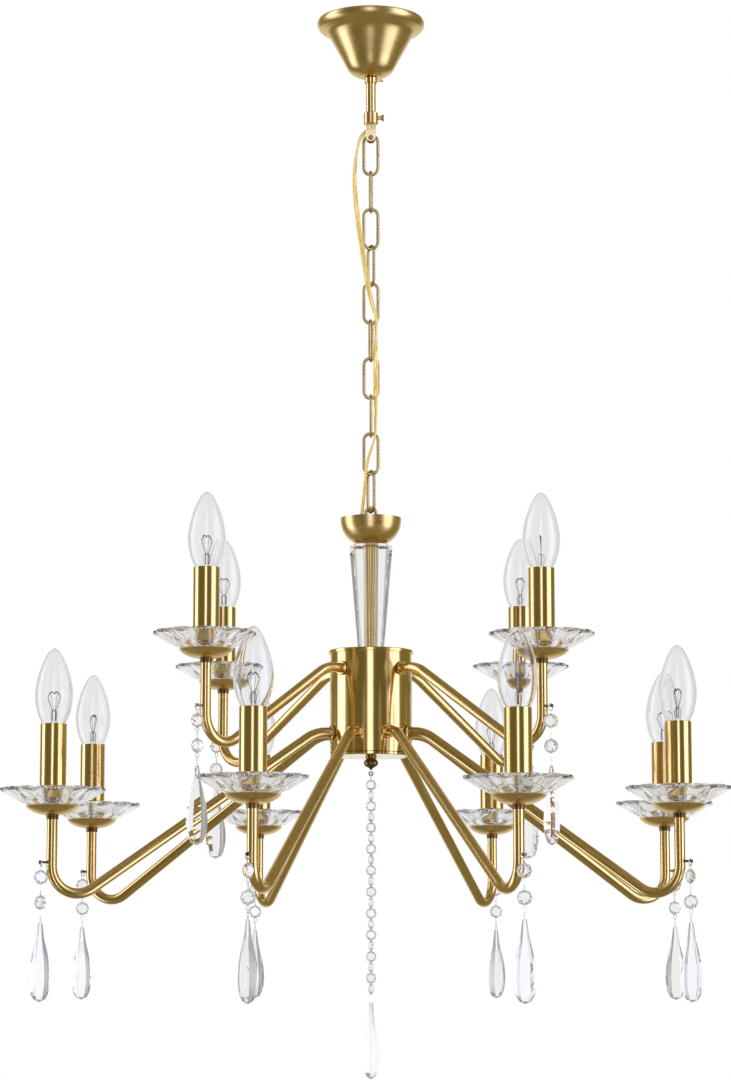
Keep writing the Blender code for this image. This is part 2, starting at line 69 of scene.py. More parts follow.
# %% Set the camera
scene = bpy.context.scene
CAMERA_PLACE = (-0.0054, -2.960, -0.9565)
CAMERA_TILT = 98.16
LENS_LENGTH, SENSOR_WIDTH = 100.6, 36.0
LIGHT_BOUNCES = 20
lens = bpy.data.cameras.new("camera")
lens.lens = LENS_LENGTH
lens.sensor_width = SENSOR_WIDTH
camera = bpy.data.objects.new("camera", lens)
camera.location = CAMERA_PLACE
camera.rotation_euler = (radians(CAMERA_TILT), 0, 0)
scene.collection.objects.link(camera)
scene.camera = camera
scene.view_settings.view_transform = "Standard"
for kind in ("max_bounces", "glossy_bounces", "transmission_bounces"):
    setattr(scene.cycles, kind, LIGHT_BOUNCES)
print("camera at", tuple(camera.location))

# %% [markdown]
# ## Surfaces as grids of points
#
# Nearly every part here was made by spinning, drawing or bending, so its skin is a grid: one direction
# goes round the part and the other goes along it. Working on whole numpy arrays keeps each shape a
# formula. Three helpers do most of the work: a spun profile, an outline carried along a path, and a
# smooth curve through a few given points.


# %% Grid helpers
def spun(profile, sides):
    """A profile of (radius, height) points carried round Z: x is r cos a, y is r sin a, z is the height."""
    profile = np.asarray(profile, float)
    a = np.linspace(0, 2 * pi, sides, endpoint=False)
    r = profile[:, :1]
    return np.stack([r * np.cos(a), r * np.sin(a), profile[:, 1:] + 0 * a], axis=-1)


def circle_points(a, radius):
    """The points r cos a, r sin a at the angles a."""
    return radius * np.stack([np.cos(a), np.sin(a)], axis=-1)


def circle(radius, sides):
    """A whole round outline, as points at equal angles."""
    return circle_points(np.linspace(0, 2 * pi, sides, endpoint=False), radius)


def unit(vectors):
    """Each vector divided by its own length."""
    return vectors / np.linalg.norm(vectors, axis=-1, keepdims=True)


def carried(path, outline, beside, looped=False):
    """An outline carried along a path. Its first number goes sideways, at right angles to the path and to
    the beside vector, and its second goes at right angles to both."""
    path = np.asarray(path, float)
    if looped:
        along = unit(np.roll(path, -1, axis=0) - np.roll(path, 1, axis=0))
    else:
        along = unit(np.gradient(path, axis=0))
    side = unit(np.cross(np.asarray(beside, float), along))
    up = np.cross(along, side)
    outline = np.asarray(outline, float)
    if outline.ndim == 2:
        outline = outline[None]
    return path[:, None] + outline[..., :1] * side[:, None] + outline[..., 1:] * up[:, None]


def capped(grid):
    """The grid with both ends drawn in to a point, so the shell is closed."""
    ends = [np.broadcast_to(grid[i].mean(axis=0), grid[i].shape)[None] for i in (0, -1)]
    return np.concatenate([ends[0], grid, ends[1]])


def smooth_line(knots, steps):
    """A curve through the knots: between two knots it is the Catmull-Rom cubic, whose slope at a knot is
    half the step from the knot before to the knot after."""
    knots = np.asarray(knots, float)
    padded = np.concatenate([2 * knots[:1] - knots[1:2], knots, 2 * knots[-1:] - knots[-2:-1]])
    t = np.linspace(0, 1, steps, endpoint=False)[None, :, None]
    a, b, c, d = (padded[i:len(padded) - 3 + i][:, None] for i in range(4))
    square, cube = 2 * a - 5 * b + 4 * c - d, 3 * b - a - 3 * c + d
    cubic = 0.5 * (2 * b + (c - a) * t + square * t**2 + cube * t**3)
    return np.concatenate([cubic.reshape(-1, knots.shape[1]), knots[-1:]])


def evenly(path, count):
    """Points at equal steps of length along the path, as many as count says."""
    lengths = np.concatenate([[0], np.cumsum(np.linalg.norm(np.diff(path, axis=0), axis=1))])
    wanted = np.linspace(0, lengths[-1], count)
    return np.stack([np.interp(wanted, lengths, path[:, k]) for k in range(path.shape[1])], axis=-1)


def rounded(corners, bends, steps=14):
    """A path through the corners, each inner one replaced by an arc that touches both of its sides."""
    corners = np.asarray(corners, float)
    runs = [corners[:1]]
    for before, corner, after, bend in zip(corners, corners[1:], corners[2:], bends):
        a, b = unit(before - corner), unit(after - corner)
        half = np.arccos(np.clip(a @ b, -1, 1)) / 2
        centre = corner + unit(a + b) * bend / np.sin(half)
        first = corner + a * bend / np.tan(half) - centre
        last = corner + b * bend / np.tan(half) - centre
        share = np.linspace(0, 1, steps)[:, None]
        sweep = pi - 2 * half
        arc = (np.sin((1 - share) * sweep) * first + np.sin(share * sweep) * last) / np.sin(sweep)
        runs.append(centre + arc)
    runs.append(corners[-1:])
    return np.concatenate(runs)


def placed(grid, turn=0.0, at=(0, 0, 0)):
    """The grid turned about Z and then moved."""
    c, s = np.cos(turn), np.sin(turn)
    x, y, z = np.moveaxis(grid, -1, 0)
    return np.stack([c * x - s * y, s * x + c * y, z], axis=-1) + np.asarray(at, float)


print("a ring of six points:", circle(1.0, 6).round(2).tolist())

# %% [markdown]
# ## From grids to pieces
#
# A piece is one or more grids woven into a single mesh. Each grid is closed round its columns, and its
# rows may also join end to end, as on a ring. Each face corner keeps how far round and how far along it
# is as a UV map, which the flex's skin follows later. Points that meet, such as a pole's, are merged,
# and the faces are turned outwards.

# %% Weave a piece
made_pieces = []


def woven(name, grids, finish, body, stands_for=(), slot=None, crease=None, looped=False):
    """Put the grids into one mesh and let it ride on a body. Crease is the sharp angle in degrees, or
    None for flat facets."""
    points, faces, corners, offset = [], [], [], 0
    for grid in grids:
        rows, cols = grid.shape[:2]
        index = offset + np.arange(rows * cols).reshape(rows, cols)
        step = np.linalg.norm(np.diff(grid, axis=0), axis=-1).mean(axis=1)
        along = np.concatenate([[0], np.cumsum(step)])
        if looped:
            index = np.concatenate([index, index[:1]])
            along = np.append(along, along[-1] + np.linalg.norm(grid[0] - grid[-1], axis=-1).mean())
        index = np.concatenate([index, index[:, :1]], axis=1)
        round_share = np.linspace(0, 1, cols + 1)
        v, u = np.meshgrid(along, round_share, indexing="ij")
        uv = np.stack([u, v], axis=-1)
        quads = [(slice(None, -1), slice(None, -1)), (slice(None, -1), slice(1, None)),
                 (slice(1, None), slice(1, None)), (slice(1, None), slice(None, -1))]
        faces.append(np.stack([index[q] for q in quads], axis=-1).reshape(-1, 4))
        corners.append(np.stack([uv[q] for q in quads], axis=-2).reshape(-1, 2))
        points.append(grid.reshape(-1, 3))
        offset += rows * cols
    mesh = bpy.data.meshes.new(name)
    mesh.from_pydata(np.concatenate(points).tolist(), [], np.concatenate(faces).tolist())
    mesh.uv_layers.new(name="UVMap").data.foreach_set("uv", np.concatenate(corners).ravel())
    shell = bmesh.new()
    shell.from_mesh(mesh)
    bmesh.ops.remove_doubles(shell, verts=shell.verts, dist=1e-6)
    bmesh.ops.recalc_face_normals(shell, faces=shell.faces)
    shell.to_mesh(mesh)
    shell.free()
    if crease is None:
        mesh.shade_flat()
    else:
        mesh.shade_smooth()
        mesh.set_sharp_from_angle(angle=radians(crease))
    mesh.materials.append(finish)
    piece = bpy.data.objects.new(name, mesh)
    scene.collection.objects.link(piece)
    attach(piece, body)
    if stands_for:
        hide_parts(*([stands_for] if isinstance(stands_for, str) else stands_for))
    made_pieces.append(piece)
    return piece


print("pieces so far:", len(made_pieces))

# %% [markdown]
# ## Finishes
#
# Brass is a metal, so its colour is the colour of its reflection. What makes it satin is a fine grain
# left by the brush, which spreads each highlight a little. We mix two close brass tones with soft
# clouds, vary the roughness along the grain, and raise the grain as a very low bump. The grain runs up a
# sleeve and round a spun bell, and the pipes are too slim to show one. Glass is clear, so all its looks
# come from its facets, and only faint ripples and a breath of smoke are added.


# %% Finish helpers
def new_finish(name):
    """An empty finish: its node tree and its main shader."""
    finish = bpy.data.materials.new(name)
    finish.use_nodes = True
    tree = finish.node_tree
    return finish, tree, tree.nodes["Principled BSDF"]


def clouds(tree, scale, stretch=(1, 1, 1), source="Object", detail=4.0):
    """Soft noise from 0 to 1 on the piece's own coordinates, stretched along its axes."""
    where = tree.nodes.new("ShaderNodeTexCoord")
    fitted = tree.nodes.new("ShaderNodeMapping")
    fitted.inputs["Scale"].default_value = stretch
    noise = tree.nodes.new("ShaderNodeTexNoise")
    noise.inputs["Scale"].default_value = scale
    noise.inputs["Detail"].default_value = detail
    tree.links.new(where.outputs[source], fitted.inputs["Vector"])
    tree.links.new(fitted.outputs["Vector"], noise.inputs["Vector"])
    return noise.outputs["Fac"]


def spread(tree, factor, low, high, start=0.3, end=0.7):
    """The factor's middle range spread over low to high."""
    node = tree.nodes.new("ShaderNodeMapRange")
    for socket, value in (("From Min", start), ("From Max", end), ("To Min", low), ("To Max", high)):
        node.inputs[socket].default_value = value
    tree.links.new(factor, node.inputs["Value"])
    return node.outputs["Result"]


def tones(tree, factor, first, second):
    """Two colours mixed by the factor."""
    mix = tree.nodes.new("ShaderNodeMix")
    mix.data_type = "RGBA"
    mix.inputs[6].default_value = (*first, 1)
    mix.inputs[7].default_value = (*second, 1)
    tree.links.new(factor, mix.inputs[0])
    return mix.outputs[2]


def raised(tree, factor, strength, depth):
    """A bump whose height follows the factor."""
    bump = tree.nodes.new("ShaderNodeBump")
    bump.inputs["Strength"].default_value = strength
    bump.inputs["Distance"].default_value = depth
    tree.links.new(factor, bump.inputs["Height"])
    return bump.outputs["Normal"]


GRAIN_DEPTH = 0.00005


def brushed_metal(name, first, second, rough, grain, strength=0.10):
    """Metal in two close tones with a grain: its roughness runs between the two rough values."""
    finish, tree, shader = new_finish(name)
    shader.inputs["Metallic"].default_value = 1.0
    cloud = spread(tree, clouds(tree, 45.0), 0, 1)
    lines = clouds(tree, 1.0, grain, detail=2.0)
    tree.links.new(tones(tree, cloud, first, second), shader.inputs["Base Color"])
    tree.links.new(spread(tree, lines, *rough), shader.inputs["Roughness"])
    tree.links.new(raised(tree, lines, strength, GRAIN_DEPTH), shader.inputs["Normal"])
    return finish


RIPPLE_DEPTH = 0.0005


def clear_glass(name, first, second, bend, rough, ripple):
    """Clear glass that bends light by its index, with two nearly white tones and a faint ripple."""
    finish, tree, shader = new_finish(name)
    shader.inputs["Transmission Weight"].default_value = 1.0
    shader.inputs["IOR"].default_value = bend
    cloud = spread(tree, clouds(tree, 120.0), 0, 1)
    tree.links.new(tones(tree, cloud, first, second), shader.inputs["Base Color"])
    tree.links.new(spread(tree, clouds(tree, 300.0), *rough), shader.inputs["Roughness"])
    waves = raised(tree, clouds(tree, 90.0, detail=1.0), ripple, RIPPLE_DEPTH)
    tree.links.new(waves, shader.inputs["Normal"])
    return finish


# %% Mix the finishes
GRAIN_UP = (1500, 1500, 14)
GRAIN_ROUND = (90, 90, 1800)
GRAIN_SOFT = (60, 60, 60)
GRAIN_CHAIN = (400, 400, 400)
GRAIN_WIRE = (900, 900, 900)
BRASS = ((0.735, 0.505, 0.165), (0.78, 0.55, 0.195))
OLD_BRASS = ((0.16, 0.10, 0.035), (0.26, 0.17, 0.06))
LINK_BRASS = ((0.50, 0.385, 0.150), (0.64, 0.50, 0.21))
NICKEL = ((0.72, 0.71, 0.68), (0.84, 0.83, 0.80))
CRYSTAL = ((0.985, 0.985, 0.98), (1.0, 1.0, 1.0))
LAMP_GLASS = ((0.965, 0.968, 0.97), (0.985, 0.985, 0.985))
sleeve_brass = brushed_metal("sleeve_brass", *BRASS, (0.14, 0.20), GRAIN_UP)
pipe_brass = brushed_metal("pipe_brass", *BRASS, (0.18, 0.23), GRAIN_SOFT, strength=0.0)
spun_brass = brushed_metal("spun_brass", *BRASS, (0.26, 0.32), GRAIN_ROUND)
drum_brass = brushed_metal("drum_brass", *BRASS, (0.10, 0.15), GRAIN_UP)
polished_brass = brushed_metal("polished_brass", *BRASS, (0.07, 0.12), GRAIN_ROUND, strength=0.03)
dark_brass = brushed_metal("dark_brass", *OLD_BRASS, (0.24, 0.36), GRAIN_ROUND)
chain_brass = brushed_metal("chain_brass", *LINK_BRASS, (0.20, 0.30), GRAIN_CHAIN, strength=0.04)
bright_wire = brushed_metal("bright_wire", *NICKEL, (0.15, 0.25), GRAIN_WIRE)
crystal = clear_glass("cut_crystal", *CRYSTAL, bend=1.50, rough=(0.0, 0.02), ripple=0.02)
lamp_glass = clear_glass("lamp_glass", *LAMP_GLASS, bend=1.47, rough=(0.0, 0.015), ripple=0.03)
print("finishes:", len(bpy.data.materials))

# %% [markdown]
# ## The flex
#
# The lamp's own flex leaves the coupling, bows out past the first links, crosses in front of the chain
# and drops into the bowl. It is two wires side by side under one clear gold skin, so its section is two
# circles that run together, and it twists slowly on its way down. Its route is a list of given
# points, because a hanging flex follows no simple formula.

# %% Route and skin of the flex
FLEX_ROUTE = (
    (-0.0015, 0.0000, -0.1115), (-0.0039, 0.0000, -0.1142), (-0.0074, 0.0000, -0.1176),
    (-0.0110, 0.0002, -0.1228), (-0.0134, 0.0010, -0.1320), (-0.0152, 0.0014, -0.1420),
    (-0.0162, 0.0010, -0.1530), (-0.0164, 0.0000, -0.1680), (-0.0152, -0.0008, -0.1860),
    (-0.0134, -0.0018, -0.2040), (-0.0112, -0.0028, -0.2220), (-0.0084, -0.0040, -0.2400),
    (-0.0058, -0.0050, -0.2570), (-0.0038, -0.0052, -0.2700), (-0.0014, -0.0053, -0.2830),
    (0.0014, -0.0053, -0.2940), (0.0038, -0.0053, -0.3030), (0.0050, -0.0052, -0.3120),
    (0.0051, -0.0051, -0.3250), (0.0048, -0.0051, -0.3450), (0.0047, -0.0051, -0.3650),
    (0.0047, -0.0051, -0.3850), (0.0047, -0.0051, -0.4050), (0.0046, -0.0052, -0.4230),
    (0.0030, -0.0053, -0.4330), (0.0002, -0.0053, -0.4420), (-0.0026, -0.0053, -0.4510),
    (-0.0046, -0.0052, -0.4610), (-0.0056, -0.0048, -0.4730), (-0.0068, -0.0041, -0.4860),
    (-0.0082, -0.0034, -0.4980), (-0.0094, -0.0028, -0.5090), (-0.0103, -0.0025, -0.5180),
)
FLEX_WIDTH = 0.0050
WAIST = 0.72
flex_path = evenly(smooth_line(FLEX_ROUTE, 12), 220)


def twin_outline(width, sides, twist):
    """Two touching circles as one outline: the radius at angle a is the far side of whichever circle lies
    that way, filled in at the waist. Twist turns the outline by its own angle on each row."""
    a = np.linspace(0, 2 * pi, sides, endpoint=False)
    core = width / 4
    lobe = core * np.abs(np.cos(a)) + np.sqrt(core**2 - (core * np.sin(a)) ** 2)
    r = np.maximum(lobe, core * WAIST)
    turned_by = a[None] + np.asarray(twist)[:, None]
    return r[None, :, None] * np.stack([np.cos(turned_by), np.sin(turned_by)], axis=-1)


def flex_finish():
    """Clear gold skin: glossy, with darker and lighter stretches where the wires inside turn."""
    finish, tree, shader = new_finish("gold_flex")
    cloud = spread(tree, clouds(tree, 1.0, (3, 90, 1), "UV"), 0, 1)
    gold = tones(tree, cloud, (0.80, 0.55, 0.08), (0.93, 0.72, 0.22))
    tree.links.new(gold, shader.inputs["Base Color"])
    shader.inputs["Metallic"].default_value = 0.35
    tree.links.new(spread(tree, clouds(tree, 400.0), 0.16, 0.28), shader.inputs["Roughness"])
    shader.inputs["Coat Weight"].default_value = 0.6
    shader.inputs["Coat Roughness"].default_value = 0.08
    return finish


share = np.linspace(0, 1, len(flex_path))
TWIST_START, TWIST_TURNS, TWIST_DRIFT, DRIFT_WAVES = radians(35), 1.35, 0.10, 1.7
drift = TWIST_DRIFT * np.sin(2 * pi * DRIFT_WAVES * share)
flex_twist = TWIST_START + 2 * pi * (TWIST_TURNS * share + drift)
flex_skin = capped(carried(flex_path, twin_outline(FLEX_WIDTH, 20, flex_twist), (0, 1, 0)))
flex = woven("flex_cord_skin", [flex_skin], flex_finish(), "chain", "flex_cord", "gold_flex", crease=50)

# %% [markdown]
# ## The chain
#
# Each link is a length of round wire bent into a long oval and closed with a butt joint. The next link
# is turned about a quarter, though a real chain hangs with small errors. The middle line is a running
# track: two straight sides and two half circles. A shallow groove on one side shows where the wire's
# ends meet.

# %% Ten links
LINK_TURNS = (0, 84, 0, -66, 0, 80, 0, 90, 0, -64)
LINK_WIRE = 0.0016
LINK_HALF_WIDTH = 0.0071
LINK_HALF_LENGTH = 0.02045
LINK_PITCH = 0.0382
GROOVE_DEPTH, GROOVE_WIDTH = 0.30, 0.00035
chain_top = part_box("chain")[1].z
straight = LINK_HALF_LENGTH - LINK_HALF_WIDTH


def track(half_width, half_straight, steps):
    """A running track in the XZ plane: a half circle round each end and two straight sides. The sides'
    heights follow a cube, so their points crowd at the middle, where the joint is."""
    a = np.linspace(0, pi, steps)
    top = np.stack([np.cos(a), 0 * a, np.sin(a)], axis=-1) * half_width + (0, 0, half_straight)
    down = -half_straight * np.linspace(-1, 1, 2 * steps)[1:-1] ** 3
    left = np.stack([0 * down - half_width, 0 * down, down], axis=-1)
    return np.concatenate([top, left, -top, -left])


def link_wire(path, radius, sides):
    """A round outline for each point of a link, drawn in by a third at the butt joint on one side."""
    groove = 1 - GROOVE_DEPTH * np.exp(-((path[:, 2] / GROOVE_WIDTH) ** 2)) * (path[:, 0] > 0)
    return circle(radius, sides)[None] * groove[:, None, None]


track_line = track(LINK_HALF_WIDTH, straight, 16)
for i, turn in enumerate(LINK_TURNS):
    centre_z = chain_top - LINK_WIRE - LINK_HALF_LENGTH - i * LINK_PITCH
    wire = carried(track_line, link_wire(track_line, LINK_WIRE, 14), (0, 1, 0), looped=True)
    wire = placed(wire, radians(turn), (0, 0, centre_z))
    woven(f"chain_link_{i + 1}", [wire], chain_brass, "chain", "chain" if i == 0 else (), "brass",
          crease=50, looped=True)
print("links:", len(LINK_TURNS), "top at", round(chain_top, 4))

# %% [markdown]
# ## The ceiling end
#
# A steel bar screwed to the ceiling holds a short tube, and the bell canopy slides up the tube and is
# held by a collar with a grub screw. A bell like this is spun: a flat disc is pressed over a turning
# form. Its wall is therefore one smooth line carried round the axis, with a second line one sheet
# thickness inside it.


# %% Bracket, stem, canopy and collar
def walled(line, wall):
    """A line of (radius, height) points and its copy moved in by the wall, as one closed outline."""
    line = np.asarray(line, float)
    slope = unit(np.gradient(line, axis=0))
    inner = line + wall * np.stack([-slope[:, 1], slope[:, 0]], axis=-1)
    return np.concatenate([line, inner[::-1]])


def slab(size, centre, round_by, steps=5, edge=0.0003):
    """A flat plate: its outline is a rectangle with rounded corners, carried from face to face and drawn
    in a little at each face for a bevelled edge."""
    half = np.array(size) / 2
    a = np.concatenate([np.linspace(0, pi / 2, steps) + q * pi / 2 for q in range(4)])
    signs = np.stack([np.repeat([1, -1, -1, 1], steps), np.repeat([1, 1, -1, -1], steps)], axis=-1)
    outline = signs * (half[:2] - round_by) + circle_points(a, round_by)
    levels = np.array([(-half[2], edge), (edge - half[2], 0), (half[2] - edge, 0), (half[2], edge)])
    shrink = 1 - levels[:, 1, None, None] / half[:2].max()
    heights = np.broadcast_to(levels[:, :1, None], (len(levels), len(a), 1))
    return capped(np.concatenate([outline[None] * shrink, heights], axis=-1)) + np.asarray(centre, float)


def lying(grid):
    """The grid laid from Z along X: (x, y, z) becomes (z, y, -x)."""
    x, y, z = np.moveaxis(grid, -1, 0)
    return np.stack([z, y, -x], axis=-1)


def rod(radius, start, end, sides=24, edge=0.0003):
    """A round bar up Z with a small bevel round each end."""
    profile = [(radius - edge, start), (radius, start + edge), (radius, end - edge), (radius - edge, end)]
    return capped(spun(profile, sides))


STEM_RADIUS = 0.0050
bracket_low, bracket_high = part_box("ceiling_bracket")
bar_size = (bracket_high.x - bracket_low.x, bracket_high.y - bracket_low.y, 0.0025)
bar = slab(bar_size, (0, 0, -bar_size[2] / 2), 0.004)
woven("ceiling_bar", [bar], bright_wire, "ceiling_mount", "ceiling_bracket", crease=30)
tube_profile = [(0.0034, bracket_low.z), (0.0047, bracket_low.z), (STEM_RADIUS, bracket_low.z + 0.0004),
                (STEM_RADIUS, -0.0026), (0.0034, -0.0026)]
woven("stem_tube", [spun(tube_profile, 40)], pipe_brass, "ceiling_mount", slot="brass", crease=30,
      looped=True)
CANOPY_KNOTS = (
    (0.0054, -0.0590), (0.0130, -0.0580), (0.0215, -0.0528), (0.0283, -0.0407), (0.0354, -0.0278),
    (0.0425, -0.0152), (0.0478, -0.0112), (0.0515, -0.0088), (0.0540, -0.0052), (0.0541, -0.0022),
    (0.0536, -0.0004),
)
SHEET = 0.0012
bell = spun(walled(smooth_line(CANOPY_KNOTS, 7), SHEET), 128)
woven("canopy_bell", [bell], spun_brass, "canopy", "canopy", "brass", crease=40, looped=True)
collar_profile = [(0.0053, -0.0652), (0.0060, -0.0652), (0.0063, -0.0649), (0.0063, -0.0596),
                  (0.0060, -0.0593), (0.0053, -0.0593)]
grub_line = [(0.0009, 0.0056), (0.0009, 0.0096), (0.0014, 0.0098), (0.0015, 0.0112), (0.0009, 0.0118),
             (0.0009, 0.0124), (0.0003, 0.0126)]
GRUB_Z = -0.0622
grub = placed(lying(capped(spun(grub_line, 16))), at=(0, 0, GRUB_Z))
woven("collar_ring", [spun(collar_profile, 40)], sleeve_brass, "canopy", "canopy_collar", "brass",
      crease=30, looped=True)
woven("collar_screw", [grub], sleeve_brass, "canopy", slot="brass", crease=30)
print("canopy across:", round(2 * bell[..., 0].max(), 4))

# %% [markdown]
# ## The coupling
#
# A small socket is clamped on the tube by a thumb screw. Below it two ears take a cross-pin, and the
# first link hangs on that pin. The ears are flat bars with round feet, so their outline is half a circle
# closed by two straight sides. The screw's grip is knurled: its radius swells and shrinks as a cosine.

# %% Coupling and thumb screw
socket_line = [(0.0034, -0.1080), (0.0066, -0.1080), (0.00715, -0.1074), (0.00715, -0.0963),
               (0.0067, -0.0958), (0.0053, -0.0958), (0.0053, -0.1035), (0.0034, -0.1035)]
woven("coupling_socket", [spun(socket_line, 40)], spun_brass, "ceiling_mount", "chain_coupling", "brass",
      crease=30, looped=True)
EAR_THICK, EAR_WIDE, EAR_GAP = 0.0021, 0.0100, 0.0058
EAR_TOP, EAR_LIFT, PIN_Z = -0.1072, 0.0012, -0.1227
ear_foot = circle_points(np.linspace(pi, 2 * pi, 13), EAR_WIDE / 2) + (0, PIN_Z + EAR_LIFT)
ear_edge = np.concatenate([[(EAR_WIDE / 2, EAR_TOP), (-EAR_WIDE / 2, EAR_TOP)], ear_foot])
middle = ear_edge.mean(axis=0)
ears = []
for side in (-1, 1):
    y = side * (EAR_GAP / 2 + np.array([0, 0.0003, EAR_THICK - 0.0003, EAR_THICK]))
    inset = np.array([0.94, 1, 1, 0.94])[:, None, None]
    face = (ear_edge - middle)[None] * inset + middle
    across = np.broadcast_to(y[:, None], face.shape[:2])
    ears.append(capped(np.stack([face[..., 0], across, face[..., 1]], axis=-1)))
woven("coupling_ears", ears, chain_brass, "ceiling_mount", slot="brass", crease=30)
pin_half = EAR_GAP / 2 + EAR_THICK + 0.0006
pin_line = [(0.0016, -pin_half + 0.0006), (0.0016, pin_half - 0.0006)]
head = [(0.0022, -pin_half), (0.0026, -pin_half + 0.0003), (0.0026, -pin_half + 0.0006)]
pin_line = head + pin_line + [(r, -z) for r, z in reversed(head)]
cross_pin = placed(lying(capped(spun(pin_line, 20))), pi / 2, (0, 0, PIN_Z))
woven("coupling_pin", [cross_pin], dark_brass, "ceiling_mount", slot="brass", crease=30)
SCREW_KNOTS = ((0.0014, 0.0056), (0.0014, 0.0074), (0.0026, 0.0078), (0.0019, 0.0096), (0.0033, 0.0118),
               (0.0033, 0.0131))
screw_line = smooth_line(SCREW_KNOTS, 6)
SCREW_Z, KNURLS, KNURL_DEPTH, KNURL_FROM = -0.1010, 16, 0.05, 0.0112
ridges = np.cos(KNURLS * np.linspace(0, 2 * pi, 48, endpoint=False))[None, :, None]
on_grip = (screw_line[:, 1] > KNURL_FROM)[:, None, None]
screw = lying(capped(spun(screw_line, 48) * (1 + KNURL_DEPTH * ridges * on_grip * (1, 1, 0))))
woven("thumb_screw", [placed(screw, at=(0, 0, SCREW_Z))], sleeve_brass, "thumb_screw", "coupling_screw",
      "brass", crease=30)
print("cross-pin at", PIN_Z)

# %% [markdown]
# ## Bowl, rod and glass column
#
# The chain's last link holds an arch of wire over a half-round bowl. One rod runs from the bowl down
# through an eight-sided glass column to the drum, and a nut pulls the three together. The column is a
# casting with ground faces, so it keeps eight flat sides, a bevelled top edge and a bore for the rod.

# %% Bowl, arch, rod and column
ROD_RADIUS = 0.0048
BOWL_KNOTS = ((0.0302, -0.5106), (0.0300, -0.5140), (0.0294, -0.5180), (0.0274, -0.5238),
              (0.0225, -0.5306), (0.0160, -0.5352), (0.0100, -0.5370), (0.0040, -0.5372))
bowl_line = smooth_line(BOWL_KNOTS, 7)[::-1]
woven("bowl_shell", [spun(walled(bowl_line, SHEET), 112)], spun_brass, "fixture", "bowl", "brass",
      crease=40, looped=True)
hub_line = smooth_line([(0.0065, -0.5362), (0.0065, -0.5290), (0.0058, -0.5272), (0.0030, -0.5268)], 5)
ARCH_TOP, ARCH_HALF, ARCH_WIRE = -0.5001, 0.0050, 0.0016
ARCH_BEND, ARCH_FOOT = -0.5170, -0.5285
arch_turn = np.linspace(0, pi, 25)
arch_round = ARCH_HALF * np.stack([np.cos(arch_turn), 0 * arch_turn, np.sin(arch_turn)], axis=-1)
right_leg = [(ARCH_HALF, 0, ARCH_FOOT), (ARCH_HALF, 0, ARCH_BEND)]
left_leg = [(-x, y, z) for x, y, z in reversed(right_leg)]
arch_path = np.concatenate([right_leg, arch_round + (0, 0, ARCH_TOP - ARCH_HALF), left_leg])
arch = capped(carried(arch_path, circle(ARCH_WIRE, 16), (0, 1, 0)))
woven("bowl_arch", [arch, capped(spun(hub_line, 40))], chain_brass, "fixture", slot="brass", crease=40)
column_rod = rod(ROD_RADIUS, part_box("bowl")[0].z, -0.5368, 40)
rod_nut = capped(spun([(0.0078, -0.6502), (0.0085, -0.6498), (0.0085, -0.6466), (0.0078, -0.6463)], 6))
woven("column_rod", [column_rod, rod_nut], sleeve_brass, "fixture", slot="brass", crease=30)


def faceted_column(top, foot, top_radius, foot_radius, bore, bevel, sides=8):
    """A tapered prism with a bevelled top edge, a short bevel at the foot and a round bore. Each flat side
    is a straight line: its radius is the corner's times cos(half a side) over cos(angle off its middle)."""
    outside = [(foot_radius - bevel / 2, foot), (foot_radius, foot + bevel / 2),
               (top_radius, top - bevel), (top_radius - bevel, top)]
    fine = 8 * sides
    off_middle = (np.linspace(0, 2 * pi, fine, endpoint=False) % (2 * pi / sides)) - pi / sides
    flat = np.cos(pi / sides) / np.cos(off_middle)
    rings = spun(outside, fine) * np.stack([flat, flat, 1 + 0 * flat], axis=-1)[None]
    return np.concatenate([rings, spun([(bore, top), (bore, foot)], fine)])


column_low, column_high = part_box("glass_column")
COLUMN_TOP_RADIUS, COLUMN_FOOT_RADIUS, BORE_GAP, COLUMN_BEVEL = 0.0213, 0.0128, 0.0007, 0.0015
column = faceted_column(column_high.z, column_low.z, COLUMN_TOP_RADIUS, COLUMN_FOOT_RADIUS,
                        ROD_RADIUS + BORE_GAP, COLUMN_BEVEL)
woven("glass_column_cut", [column], crystal, "fixture", "glass_column", "crystal", crease=12, looped=True)
print("column height:", round(column_high.z - column_low.z, 4))

# %% [markdown]
# ## Drum, base and finial
#
# The drum is a short length of tube between two discs. Its wall is brushed along its height, which
# draws the studio's windows out into crisp upright bands. The base disc is polished, and under it hang
# a small turned ball and a wire eye.

# %% Drum, base plate and finial
drum_low, drum_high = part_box("hub_drum")
DRUM_RADIUS, DRUM_WALL, PLATE_RADIUS, PLATE_THICK = 0.04025, 0.0015, 0.0418, 0.0035
top_z, seat_z = drum_high.z, drum_high.z - PLATE_THICK
inside = DRUM_RADIUS - DRUM_WALL
wall_line = [(DRUM_RADIUS, seat_z), (DRUM_RADIUS, drum_low.z), (inside, drum_low.z), (inside, seat_z)]
woven("drum_wall", [spun(wall_line, 160)], drum_brass, "fixture", "hub_drum", "brass", crease=30,
      looped=True)
plate_line = [(0.0052, seat_z), (PLATE_RADIUS - 0.0004, seat_z), (PLATE_RADIUS, seat_z + 0.0004),
              (PLATE_RADIUS, top_z - 0.0006), (PLATE_RADIUS - 0.0006, top_z), (0.0052, top_z)]
woven("drum_top_plate", [spun(plate_line, 160)], sleeve_brass, "fixture", slot="brass", crease=25,
      looped=True)
BASE_THICK, BASE_EDGE = 0.0030, 0.0005
base_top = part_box("base_and_finial")[1].z
base_foot = base_top - BASE_THICK
base_line = [(0.0, base_top), (DRUM_RADIUS - BASE_EDGE, base_top), (DRUM_RADIUS, base_top - BASE_EDGE),
             (DRUM_RADIUS, base_foot + BASE_EDGE), (DRUM_RADIUS - BASE_EDGE, base_foot), (0.0, base_foot)]
